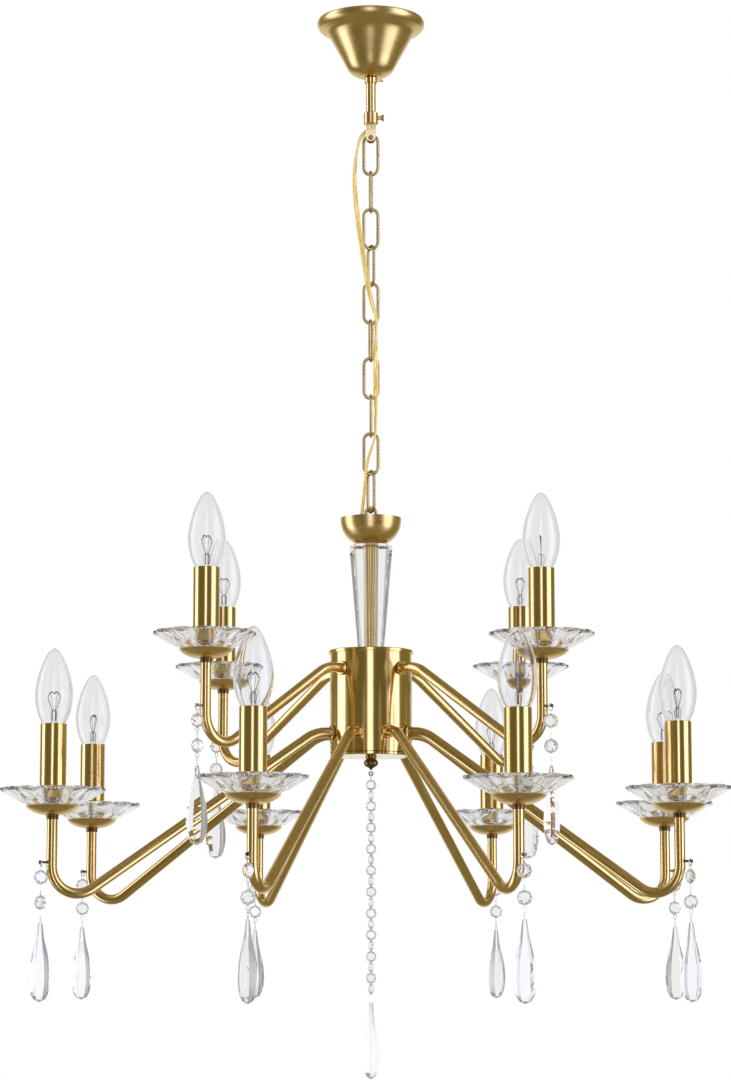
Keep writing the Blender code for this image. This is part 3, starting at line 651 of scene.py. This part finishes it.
woven("base_plate", [spun(base_line, 160)], polished_brass, "fixture", "base_and_finial", "brass",
      crease=25)
FINIAL_KNOTS = ((0.0055, 0.0), (0.0054, -0.0012), (0.0046, -0.0020), (0.0060, -0.0036), (0.0071, -0.0060),
                (0.0060, -0.0088), (0.0034, -0.0105), (0.0016, -0.0116), (0.0012, -0.0130))
finial_line = smooth_line(FINIAL_KNOTS, 6) + (0, base_foot)
woven("finial_ball", [capped(spun(finial_line, 56))], dark_brass, "fixture", slot="brass", crease=40)
EYE_Z, EYE_RADIUS, EYE_WIRE = -0.7635, 0.0019, 0.0006


def wire_loop(radius, wire, centre, turn=0.0, sides=10, steps=28, stretch=1.0):
    """A closed ring of wire standing in the XZ plane, stretched up Z and turned about it."""
    a = np.linspace(0, 2 * pi, steps, endpoint=False)
    path = radius * np.stack([np.cos(a), 0 * a, stretch * np.sin(a)], axis=-1)
    return placed(carried(path, circle(wire, sides), (0, 1, 0), looped=True), turn, centre)


def straight_wire(start, end, wire, sides=8):
    """A thin wire from one point to another, closed at its ends."""
    path = np.linspace(start, end, 4)
    along = path[-1] - path[0]
    beside = (0, 1, 0) if abs(along[1]) < 0.5 * np.linalg.norm(along) else (1, 0, 0)
    return capped(carried(path, circle(wire, sides), beside))


eye = wire_loop(EYE_RADIUS, EYE_WIRE, (0, 0, EYE_Z))
woven("finial_eye", [eye], dark_brass, "fixture", slot="brass", crease=60, looped=True)
print("drum height:", round(drum_high.z - drum_low.z, 4))

# %% [markdown]
# ## Cut crystal
#
# A cut bead is an eight-sided disc: a flat table on each face, a ring of sloping facets, and a thin
# girdle. A cut drop is flat and long, narrow at its hole, widest low down, with long facets that meet
# on a ridge. Both are grids with few points and flat shading, because the facets are the shape. A ring
# turned by half a step against its neighbours makes the triangles that a cutter would grind.


# %% Bead and drop
def cut_bead(radius, half_depth):
    """A bead that faces Y. Along Y its rings are a table, a break and a girdle; the break's corners are
    pushed out halfway between the girdle's."""
    sides = 16
    odd = np.arange(sides) % 2
    flat = np.cos(pi / 8)
    front = [(0.50, 1.0, 0), (0.80, 0.62, 1), (1.0, 0.16, 0)]
    levels = front + [(share, -depth, shifted) for share, depth, shifted in reversed(front)]
    a = np.linspace(0, 2 * pi, sides, endpoint=False)
    rings = []
    for share, depth, shifted in levels:
        r = radius * share * np.where(odd == shifted, 1.0, flat)
        rings.append(np.stack([r * np.cos(a), 0 * a + half_depth * depth, r * np.sin(a)], axis=-1))
    return capped(np.stack(rings))


def cut_drop(length, half_width, half_depth, narrow=0.20, widest=0.68):
    """A drop hung from its top at the origin, facing Y. Its section is six-sided, with a table in front
    and behind and two slopes at each edge. The half width rises along a cosine from the narrow top to
    the widest place, then falls along an ellipse to the tip."""
    share = np.array([0.0, 0.022, 0.20, 0.36, 0.52, 0.68, 0.80, 0.90, 0.965])
    rise = narrow + (1 - narrow) * (1 - np.cos(pi * np.minimum(share / widest, 1))) / 2
    past = (share - widest).clip(0) / (1.01 - widest)
    fall = np.sqrt(np.clip(1 - past**2.2, 0, 1))
    size = rise * fall
    size[0] *= 0.72
    a = np.radians([0, 62, 118, 180, 242, 298])[None]
    x = half_width * size[:, None] * np.cos(a)
    y = half_depth * size[:, None] ** 0.75 * np.sin(a) / np.sin(a[0, 1])
    z = np.broadcast_to(-length * share[:, None], x.shape)
    grid = np.stack([x, y, z], axis=-1)
    tip = np.broadcast_to(np.array([0, 0, -length]), (1, a.size, 3))
    top = np.broadcast_to(grid[0].mean(axis=0), (1, a.size, 3))
    return np.concatenate([top, grid, tip])


DROP_LENGTH, DROP_HALF_WIDTH, DROP_HALF_DEPTH = 0.0735, 0.0105, 0.0060
drop_shape = cut_drop(DROP_LENGTH, DROP_HALF_WIDTH, DROP_HALF_DEPTH)
print("facets on a drop:", 6 * (len(drop_shape) - 1))

# %% [markdown]
# ## The bead string
#
# Twenty small beads hang under the eye, each turned about a quarter from the last because the wire loops
# that join them alternate, and a long drop ends the string. A fixed seed gives the same small errors of
# turn on every run.

# %% String of beads
BEAD_COUNT, BEAD_PITCH, BEAD_RADIUS, BEAD_HALF_DEPTH = 20, 0.0104, 0.0054, 0.0026
FIRST_BEAD_Z, STRING_DROP_TOP = -0.7745, -0.9850
TURN_ERROR = 0.18
rng = np.random.default_rng(7)
for i in range(BEAD_COUNT):
    turn = (i % 2) * pi / 2 + rng.normal(0, TURN_ERROR)
    bead = placed(cut_bead(BEAD_RADIUS, BEAD_HALF_DEPTH), turn, (0, 0, FIRST_BEAD_Z - i * BEAD_PITCH))
    woven(f"string_bead_{i + 1}", [bead], crystal, "bead_string", slot="crystal")
string_wires = [wire_loop(0.0022, 0.0005, (0, 0, EYE_Z - 0.0023), pi / 2, 8, 20)]
for i in range(BEAD_COUNT + 1):
    z = FIRST_BEAD_Z - (i - 0.5) * BEAD_PITCH
    string_wires.append(wire_loop(0.0011, 0.00032, (0, 0, z), i * pi / 2, 6, 12, 1.5))
woven("string_wires", string_wires, bright_wire, "bead_string", crease=60, looped=True)
string_drop = placed(drop_shape, radians(40), (0, 0, STRING_DROP_TOP))
woven("string_drop", [string_drop], crystal, "bead_string", "bead_string", "crystal")
print("string length:", round(EYE_Z - STRING_DROP_TOP + DROP_LENGTH, 4))

# %% [markdown]
# ## Twelve arms
#
# An arm is one 10 mm pipe, bent twice. It leaves the drum level, slopes down, turns up through a tight
# elbow and ends under the lamp. We draw it in its own plane as a path with two arcs and then turn it
# about the axis. The frame's hinges tell us each arm's direction and the height of its pin, so nothing
# is placed by eye.

# %% Where the lamps stand
PIN_DROP = 0.0450
PENDANT_REACH = 0.0102
TIERS = {
    "lower": {"hub_z": -0.7243, "slope": radians(34.5), "bend_at": 0.0576},
    "upper": {"hub_z": -0.6622, "slope": radians(32.5), "bend_at": 0.0611},
}
lamps = []
for name, joint in joints.items():
    if "pendant" in name:
        tier, number = name.split("_")[0], name.split("_")[2]
        x, y, z = joint["pos_m"]
        turn, reach, foot_z = atan2(y, x), hypot(x, y) - PENDANT_REACH, z + PIN_DROP
        spot = placed(np.array([(reach, 0, foot_z)]), turn)[0]
        lamps.append({"tag": f"{tier}_{{}}_{number}".format, "turn": turn, "reach": reach,
                      "foot_z": foot_z, "spot": spot, **TIERS[tier]})
print("lamps:", [(lamp["tag"]("lamp"), round(degrees(lamp["turn"]))) for lamp in lamps])

# %% Pipes and their fittings
PIPE_RADIUS, HUB_BEND, ELBOW_BEND = 0.0050, 0.036, 0.025
PIPE_START, PIPE_SHORT_BY = 0.0345, 0.002


def arm_line(lamp):
    """The pipe's middle line in the plane of radius and height: level, sloping, then upright."""
    hub_z, bend_at, reach = lamp["hub_z"], lamp["bend_at"], lamp["reach"]
    elbow_z = hub_z - (reach - bend_at) * tan(lamp["slope"])
    foot = lamp["foot_z"] - PIPE_SHORT_BY
    corners = [(PIPE_START, hub_z), (bend_at, hub_z), (reach, elbow_z), (reach, foot)]
    line = rounded(corners, (HUB_BEND, ELBOW_BEND), 18)
    return np.stack([line[:, 0], 0 * line[:, 0], line[:, 1]], axis=-1)


ring_line = [(0.0052, 0.0404), (0.0066, 0.0404), (0.0070, 0.0408), (0.0070, 0.0421), (0.0062, 0.0428),
             (0.0052, 0.0428)]
nut_line = [(0.0052, 0.0342), (0.0070, 0.0342), (0.0075, 0.0346), (0.0075, 0.0368), (0.0070, 0.0372),
            (0.0052, 0.0372)]
foot_line = [(0.0044, -0.0048), (0.0054, -0.0048), (0.0058, -0.0044), (0.0058, -0.0030), (0.0055, -0.0026),
             (0.0055, -0.0022), (0.0061, -0.0018), (0.0061, -0.0003), (0.0044, -0.0003)]
pin_line = [(0.0011, 0.0030), (0.0011, 0.0114), (0.0017, 0.0115), (0.0018, 0.0120), (0.0014, 0.0124)]
fittings = {"slot": "brass", "crease": 30}
for lamp in lamps:
    tag, turn, reach, foot_z = lamp["tag"], lamp["turn"], lamp["reach"], lamp["foot_z"]
    pipe = placed(capped(carried(arm_line(lamp), circle(PIPE_RADIUS, 28), (0, 1, 0))), turn)
    woven(tag("pipe"), [pipe], pipe_brass, "fixture", tag("arm"), "brass", crease=50)
    rings = [lying(spun(ring_line, 36)), lying(spun(nut_line, 6))]
    rings = [placed(ring, turn, (0, 0, lamp["hub_z"])) for ring in rings]
    woven(tag("hub_ring"), rings, pipe_brass, "fixture", looped=True, **fittings)
    foot_nut = placed(placed(spun(foot_line, 32), at=(reach, 0, foot_z)), turn)
    woven(tag("foot_nut"), [foot_nut], dark_brass, "fixture", looped=True, **fittings)
    pin = placed(lying(capped(spun(pin_line, 16))), at=(reach, 0, foot_z - PIN_DROP))
    woven(tag("pin"), [placed(pin, turn)], dark_brass, "fixture", **fittings)
pipes = [np.linalg.norm(np.diff(arm_line(lamp), axis=0), axis=1).sum() for lamp in lamps]
print("pipe lengths from", round(float(min(pipes)), 3), "to", round(float(max(pipes)), 3))

# %% [markdown]
# ## Cups, dishes and sleeves
#
# A spun brass cup carries a pressed glass dish with twelve petals, and a brass sleeve stands in the
# dish to hide the lampholder. Each petal bulges below and is grooved above, and its edge is scalloped:
# the radius swells with the absolute sine of the angle, which is zero between two petals.

# %% Cup, dish, sleeve and lampholder
PETALS = 12


DISH_LINE = (
    # radius, height, bulge below, groove above
    (0.0061, 0.0087, 0, 0), (0.0180, 0.0087, 0, 0), (0.0245, 0.0088, 0.1, 0), (0.0300, 0.0112, 0.8, 0),
    (0.0370, 0.0148, 1.0, 0), (0.0440, 0.0190, 0.9, 0), (0.0492, 0.0219, 0.4, 0), (0.0500, 0.0228, 0, 0),
    (0.0497, 0.0243, 0, 0.3), (0.0485, 0.0246, 0, 0.7), (0.0420, 0.0216, 0, 1.0), (0.0350, 0.0176, 0, 1.0),
    (0.0270, 0.0138, 0, 0.5), (0.0180, 0.0131, 0, 0), (0.0100, 0.0131, 0, 0), (0.0090, 0.0140, 0, 0),
    (0.0090, 0.0263, 0, 0), (0.0061, 0.0263, 0, 0),
)
SCALLOP, BULGE, GROOVE = 0.045, 0.0010, 0.0008
PETALS_FROM, PETALS_WIDE = 0.024, 0.026


def petal_dish():
    """The dish as rings of (radius, height) bent by the petals: the scallop moves points out and the
    bulge moves the underside down, both by the absolute sine of half the petal angle."""
    a = np.linspace(0, 2 * pi, PETALS * 6, endpoint=False)
    crest = np.abs(np.sin(a * PETALS / 2))[None]
    r, z, under, over = (column[:, None] for column in np.array(DISH_LINE).T)
    outer = np.clip((r - PETALS_FROM) / PETALS_WIDE, 0, 1)
    r = r * (1 - SCALLOP * outer * (1 - crest))
    z = z - BULGE * under * (crest - 0.6) - GROOVE * over * (0.7 - crest)
    return np.stack([r * np.cos(a), r * np.sin(a), z], axis=-1)


def moulded_plastic(name, first, second, rough):
    """Off-white plastic in two close tones: its roughness runs between the two rough values."""
    finish, tree, shader = new_finish(name)
    tone = tones(tree, spread(tree, clouds(tree, 80.0), 0, 1), first, second)
    tree.links.new(tone, shader.inputs["Base Color"])
    tree.links.new(spread(tree, clouds(tree, 500.0), *rough), shader.inputs["Roughness"])
    return finish


CUP_KNOTS = ((0.0060, -0.0002), (0.0115, 0.0006), (0.0170, 0.0024), (0.0215, 0.0050), (0.0248, 0.0082))
CUP_SHEET = 0.0008
cup = spun(walled(smooth_line(CUP_KNOTS, 6)[::-1], CUP_SHEET)[::-1], 72)
nipple = rod(0.0050, 0.0005, 0.0275, 24)
sleeve_line = [(0.0059, 0.0266), (0.0121, 0.0266), (0.0125, 0.0270), (0.0125, 0.0847), (0.0122, 0.0850),
               (0.0118, 0.0850), (0.0116, 0.0847), (0.0116, 0.0275), (0.0059, 0.0275)]
holder_line = [(0.0074, 0.0460), (0.0100, 0.0460), (0.0100, 0.0300), (0.0055, 0.0300), (0.0055, 0.0285),
               (0.0108, 0.0285), (0.0108, 0.0688), (0.0103, 0.0700), (0.0080, 0.0700), (0.0074, 0.0694)]
plastic = moulded_plastic("lampholder_plastic", (0.78, 0.76, 0.70), (0.86, 0.84, 0.79), (0.38, 0.50))
for lamp in lamps:
    tag, turn, spot = lamp["tag"], lamp["turn"], lamp["spot"]
    woven(tag("cup"), [placed(cup, at=spot)], spun_brass, "fixture", slot="brass", crease=40, looped=True)
    woven(tag("nipple"), [placed(nipple, at=spot)], pipe_brass, "fixture", **fittings)
    woven(tag("dish_cut"), [placed(petal_dish(), turn, spot)], crystal, "fixture", tag("dish"), "crystal",
          crease=24, looped=True)
    sleeve = placed(spun(sleeve_line, 72), at=spot)
    woven(tag("sleeve"), [sleeve], sleeve_brass, "fixture", looped=True, **fittings)
    holder = placed(spun(holder_line, 40), at=spot)
    woven(tag("lampholder"), [holder], plastic, "fixture", crease=30, looped=True)
print("petals:", PETALS)

# %% [markdown]
# ## Candle lamps
#
# A candle lamp is a thin blown shell with a small screw base. Inside, a glass stem carries two leads and
# a long coiled filament on fine supports. The shell is a real wall with two skins, so light bends twice
# at each side and leaves the grey rim that clear lamps show against white. No two lamps are screwed in to
# the same angle, so each filament is turned on from the last.

# %% Bulb shell, stem, filament and base
SHELL_KNOTS = (
    (0.0062, 0.0665), (0.0066, 0.0710), (0.0084, 0.0780), (0.0112, 0.0850), (0.0145, 0.0921),
    (0.0171, 0.1015), (0.0181, 0.1117), (0.0178, 0.1175), (0.0163, 0.1268), (0.0137, 0.1362),
    (0.0099, 0.1456), (0.0061, 0.1526), (0.0036, 0.1553), (0.0016, 0.1564), (0.0, 0.1567),
)
SHELL_WALL, PRESS_SQUEEZE = 0.0007, 0.55
shell_line = smooth_line(SHELL_KNOTS, 6)
shell_line[:, 0] = shell_line[:, 0].clip(0)
inner_line = walled(shell_line, SHELL_WALL)[len(shell_line):][::-1]
inner_line[:, 0] = inner_line[:, 0].clip(0)
inner_line[-1, 0] = 0
shell = spun(np.concatenate([shell_line, inner_line[::-1]]), 64)
PRESS_KNOTS = ((0.0058, 0.0672), (0.0050, 0.0740), (0.0034, 0.0820), (0.0026, 0.0880), (0.0033, 0.0925),
               (0.0028, 0.0965), (0.0012, 0.0985), (0.0003, 0.0988))
stem = capped(spun(smooth_line(PRESS_KNOTS, 5), 24)) * (1, PRESS_SQUEEZE, 1)
cap_line = [(0.0008, 0.0471), (0.0026, 0.0475), (0.0034, 0.0490), (0.0050, 0.0500)]
collar_line = [(0.0067, 0.0655), (0.0067, 0.0690), (0.0063, 0.0698)]
THREAD_RADIUS, THREAD_DEPTH, THREAD_PITCH, THREAD_ENDS = 0.0065, 0.0004, 0.0028, (0.0505, 0.0645)


def screw_base():
    """A contact, a cone and a rolled thread: on the thread the radius is a sine of height minus turn."""
    thread = [(THREAD_RADIUS, height) for height in np.linspace(*THREAD_ENDS, 60)]
    r, z = np.array(cap_line + thread + collar_line).T[:, :, None]
    a = np.linspace(0, 2 * pi, 40, endpoint=False)[None]
    wave = np.sin(2 * pi * z / THREAD_PITCH - a) * ((z > cap_line[-1][1]) & (z < collar_line[0][1]))
    radius = r + THREAD_DEPTH * wave
    return capped(np.stack([radius * np.cos(a), radius * np.sin(a), z + 0 * a], axis=-1))


LEAD_HALF_GAP, LEAD_END_HALF_GAP, LEAD_FOOT, LEAD_KNEE, LEAD_END = 0.0014, 0.0060, 0.0880, 0.0975, 0.1095
COIL_TURNS, COIL_RADIUS, COIL_WIRE = 50, 0.00042, 0.00024


def filament_wires():
    """Two leads that part as they leave the press, two fine supports, and a coiled filament between the
    leads' ends. Its line rises over the supports and dips between them, as a cosine of the share, with a
    fast small sine across it for the coil."""
    wires = []
    for side in (-1, 1):
        knee, end = (side * LEAD_HALF_GAP, 0, LEAD_KNEE), (side * LEAD_END_HALF_GAP, 0, LEAD_END)
        wires.append(straight_wire((side * LEAD_HALF_GAP, 0, LEAD_FOOT), knee, 0.00040, 6))
        wires.append(straight_wire(knee, end, 0.00030, 6))
        wires.append(straight_wire((side * 0.0005, 0, 0.0965), (side * 0.0032, 0.0008, 0.1145), 0.00018, 5))
    t = np.linspace(-1, 1, 241)
    rise = np.sqrt((1 - t**2).clip(0)) * (0.0062 - 0.0020 * np.cos(2 * pi * t).clip(0))
    z = LEAD_END + rise + COIL_RADIUS * np.cos(COIL_TURNS * pi * t)
    y = COIL_RADIUS * np.sin(COIL_TURNS * pi * t) + 0.0008 * (1 - t**2)
    line = np.stack([LEAD_END_HALF_GAP * t, y, z], axis=-1)
    return [*wires, capped(carried(line, circle(COIL_WIRE, 5), (0, 1, 0.2)))]


TUNGSTEN = ((0.10, 0.098, 0.095), (0.17, 0.165, 0.16))
BASE_METAL = ((0.62, 0.56, 0.42), (0.72, 0.67, 0.54))
tungsten = brushed_metal("tungsten", *TUNGSTEN, (0.3, 0.45), GRAIN_WIRE)
base_metal = brushed_metal("screw_base_metal", *BASE_METAL, (0.22, 0.34), GRAIN_ROUND)
for i, lamp in enumerate(lamps):
    tag, spot = lamp["tag"], lamp["spot"]
    body = tag("bulb")
    screwed_to = radians(25 + 47 * i)
    woven(tag("bulb_shell"), [placed(shell, at=spot)], lamp_glass, body, tag("bulb"), "lamp_glass",
          crease=60, looped=True)
    woven(tag("bulb_stem"), [placed(stem, at=spot)], lamp_glass, body, slot="lamp_glass", crease=60)
    wires = [placed(wire, screwed_to, spot) for wire in filament_wires()]
    woven(tag("bulb_filament"), wires, tungsten, body, crease=60)
    woven(tag("bulb_base"), [placed(screw_base(), at=spot)], base_metal, body, **fittings)
print("lamp height:", round(float(shell[..., 2].max() - shell[..., 2].min()), 4))

# %% [markdown]
# ## Pendants
#
# Each arm's pin carries a wire loop, two cut beads and a drop. The pieces hang on open wire links, so
# they can turn about the vertical, and each pendant settles at its own angle.

# %% Hang the pendants
BEAD_DROPS = (-0.0140, -0.0375)
PENDANT_BEAD = (0.0070, 0.0035)
PENDANT_DROP_TOP = -0.0562
PIN_LOOP_RADIUS, PIN_LOOP_WIRE, PIN_LOOP_Z = 0.0031, 0.0005, -0.0013
# height, radius and turn of each small loop
SMALL_LOOPS = ((-0.0060, 0.00121, 0), (-0.0228, 0.00132, 0), (-0.0287, 0.00132, pi / 2),
               (-0.0465, 0.00143, 0), (-0.0528, 0.00143, pi / 2))
SMALL_WIRE, SMALL_STRETCH = 0.00032, 1.8
BEAD_TURN_ERROR, DROP_TURN_ERROR = 0.45, 0.35


def pendant_wires(pin_turn, drop_turn):
    """The loop on the pin, then a small pair of loops between each two pieces, down to the drop."""
    pin_loop = wire_loop(PIN_LOOP_RADIUS, PIN_LOOP_WIRE, (0, 0, PIN_LOOP_Z), pi / 2, 8, 24)
    small = [wire_loop(radius, SMALL_WIRE, (0, 0, z), drop_turn + turn, 6, 16, SMALL_STRETCH)
             for z, radius, turn in SMALL_LOOPS]
    return [placed(pin_loop, pin_turn), *small]


for lamp in lamps:
    tag = lamp["tag"]
    body = tag("pendant")
    x, y, z = joints[f"{body}_swing"]["pos_m"]
    bead_turns = rng.normal(0, BEAD_TURN_ERROR, 2)
    drop_turn = rng.normal(0, DROP_TURN_ERROR)
    hung = [placed(wire, at=(x, y, z)) for wire in pendant_wires(lamp["turn"], drop_turn)]
    woven(tag("pendant_wires"), hung, bright_wire, body, crease=60, looped=True)
    for k, (drop_z, bead_turn) in enumerate(zip(BEAD_DROPS, bead_turns), start=1):
        bead = placed(cut_bead(*PENDANT_BEAD), bead_turn, (x, y, z + drop_z))
        woven(tag(f"pendant_bead{k}"), [bead], crystal, body, slot="crystal")
    drop = placed(drop_shape, drop_turn, (x, y, z + PENDANT_DROP_TOP))
    woven(tag("pendant_drop"), [drop], crystal, body, tag("pendant"), "crystal")
print("pieces:", len(made_pieces))

# %% [markdown]
# ## Studio
#
# Polished brass shows the room more than itself, so the room is the light. Round the chandelier stand a
# tall window on the right, a narrower one on the left, a slim bright strip by the camera and a pale
# wall behind, with dark between them. The sky shader works this out from the compass direction of each
# ray, and rays that look well up or down see a dim ceiling or floor. The windows are cool and the dark
# between them is warm, because that turns brass cream in its lights and olive in its darks.
#
# Clear glass would pick up those tints and bands too strongly, so a ray that has just left glass sees a
# grey copy of the room with less contrast. The camera and matt surfaces see plain white, as in a pale
# studio. A plain pale floor lies well below.

# %% Light and floor
DAYLIGHT, LAMPLIGHT, PAPER = (1.0, 1.05, 1.65), (1.0, 0.94, 0.52), (1.0, 1.0, 1.0)
# compass angle in degrees, brightness and tint
WALL_BANDS = (
    (-180, 0.90, PAPER), (-152, 0.90, PAPER), (-142, 0.26, LAMPLIGHT), (-110, 0.24, LAMPLIGHT),
    (-105, 2.5, DAYLIGHT), (-81, 2.5, DAYLIGHT), (-76, 0.30, LAMPLIGHT), (-60, 0.17, LAMPLIGHT),
    (-11, 0.17, LAMPLIGHT), (-8, 2.2, DAYLIGHT), (3, 2.2, DAYLIGHT), (7, 0.15, LAMPLIGHT),
    (44, 0.17, LAMPLIGHT), (52, 2.3, DAYLIGHT), (83, 2.5, DAYLIGHT), (89, 0.25, LAMPLIGHT),
    (140, 0.24, LAMPLIGHT), (152, 0.90, PAPER), (180, 0.90, PAPER),
)
CEILING_TONE = (0.052, 0.048, 0.036, 1)
STEEP_FROM, STEEP_TO = 0.38, 0.82
BRIGHTEST = 5.0
GLASS_DARKEST, GLASS_LIGHTEST, GLASS_SOFTENED = 0.36, 0.90, 0.9
world = bpy.data.worlds.new("studio")
scene.world = world
world.use_nodes = True
sky = world.node_tree
background = sky.nodes["Background"]


def maths(operation, first, second=None):
    """One sum on the sky's nodes; first and second are sockets or numbers."""
    node = sky.nodes.new("ShaderNodeMath")
    node.operation = operation
    for slot_number, value in enumerate((first, second)):
        if isinstance(value, (int, float)):
            node.inputs[slot_number].default_value = value
        elif value is not None:
            sky.links.new(value, node.inputs[slot_number])
    return node.outputs[0]


def blended(share, first, second):
    """Two colours of the sky mixed by a share; second is a socket or a colour."""
    mix = sky.nodes.new("ShaderNodeMix")
    mix.data_type = "RGBA"
    sky.links.new(share, mix.inputs[0])
    sky.links.new(first, mix.inputs[6])
    if isinstance(second, tuple):
        mix.inputs[7].default_value = second
    else:
        sky.links.new(second, mix.inputs[7])
    return mix.outputs[2]


ray = sky.nodes.new("ShaderNodeTexCoord")
parts = sky.nodes.new("ShaderNodeSeparateXYZ")
sky.links.new(ray.outputs["Generated"], parts.inputs[0])
toward = maths("MULTIPLY", parts.outputs[1], -1.0)
compass = maths("ARCTAN2", parts.outputs[0], toward)
share_round = maths("ADD", maths("DIVIDE", compass, 2 * pi), 0.5)
bands = sky.nodes.new("ShaderNodeValToRGB")
ramp = bands.color_ramp
for number, (angle, _, _) in enumerate(WALL_BANDS):
    place = (angle + 180) / 360
    stop = ramp.elements[number] if number < 2 else ramp.elements.new(place)
    stop.position = place
for stop, (_, light, tint) in zip(ramp.elements, WALL_BANDS):
    stop.color = (*(light * part / BRIGHTEST for part in tint), 1)
sky.links.new(share_round, bands.inputs[0])
height = maths("ABSOLUTE", parts.outputs[2])
steep = sky.nodes.new("ShaderNodeMapRange")
steep.interpolation_type = "SMOOTHSTEP"
limits = {"From Min": STEEP_FROM, "From Max": STEEP_TO, "To Min": 0.0, "To Max": 1.0}
for socket, value in limits.items():
    steep.inputs[socket].default_value = value
sky.links.new(height, steep.inputs["Value"])
room = blended(steep.outputs["Result"], bands.outputs["Color"], CEILING_TONE)
seen = sky.nodes.new("ShaderNodeLightPath")
grey = sky.nodes.new("ShaderNodeRGBToBW")
sky.links.new(room, grey.inputs[0])
lifted = maths("MAXIMUM", grey.outputs[0], GLASS_DARKEST / BRIGHTEST)
soft = maths("MINIMUM", lifted, GLASS_LIGHTEST / BRIGHTEST)
left_glass = maths("MULTIPLY", seen.outputs["Is Transmission Ray"], GLASS_SOFTENED)
through_glass = blended(left_glass, room, soft)
plain = maths("MAXIMUM", seen.outputs["Is Camera Ray"], seen.outputs["Is Diffuse Ray"])
WHITE = (1 / BRIGHTEST, 1 / BRIGHTEST, 1 / BRIGHTEST, 1)
sky.links.new(blended(plain, through_glass, WHITE), background.inputs["Color"])
background.inputs["Strength"].default_value = BRIGHTEST

FLOOR_Z, HALF_FLOOR = -2.70, 7.0
floor_finish, floor_tree, floor_shader = new_finish("pale_floor")
floor_clouds = spread(floor_tree, clouds(floor_tree, 3.0), 0, 1)
floor_tone = tones(floor_tree, floor_clouds, (0.84, 0.84, 0.83), (0.87, 0.87, 0.86))
floor_tree.links.new(floor_tone, floor_shader.inputs["Base Color"])
floor_shader.inputs["Roughness"].default_value = 0.6
floor_mesh = bpy.data.meshes.new("floor")
floor_corners = [(x * HALF_FLOOR, y * HALF_FLOOR, FLOOR_Z) for x, y in ((-1, -1), (1, -1), (1, 1), (-1, 1))]
floor_mesh.from_pydata(floor_corners, [], [(0, 1, 2, 3)])
floor_mesh.materials.append(floor_finish)
floor = bpy.data.objects.new("floor", floor_mesh)
scene.collection.objects.link(floor)
floor.visible_glossy = floor.visible_transmission = False
print("floor at", FLOOR_Z)
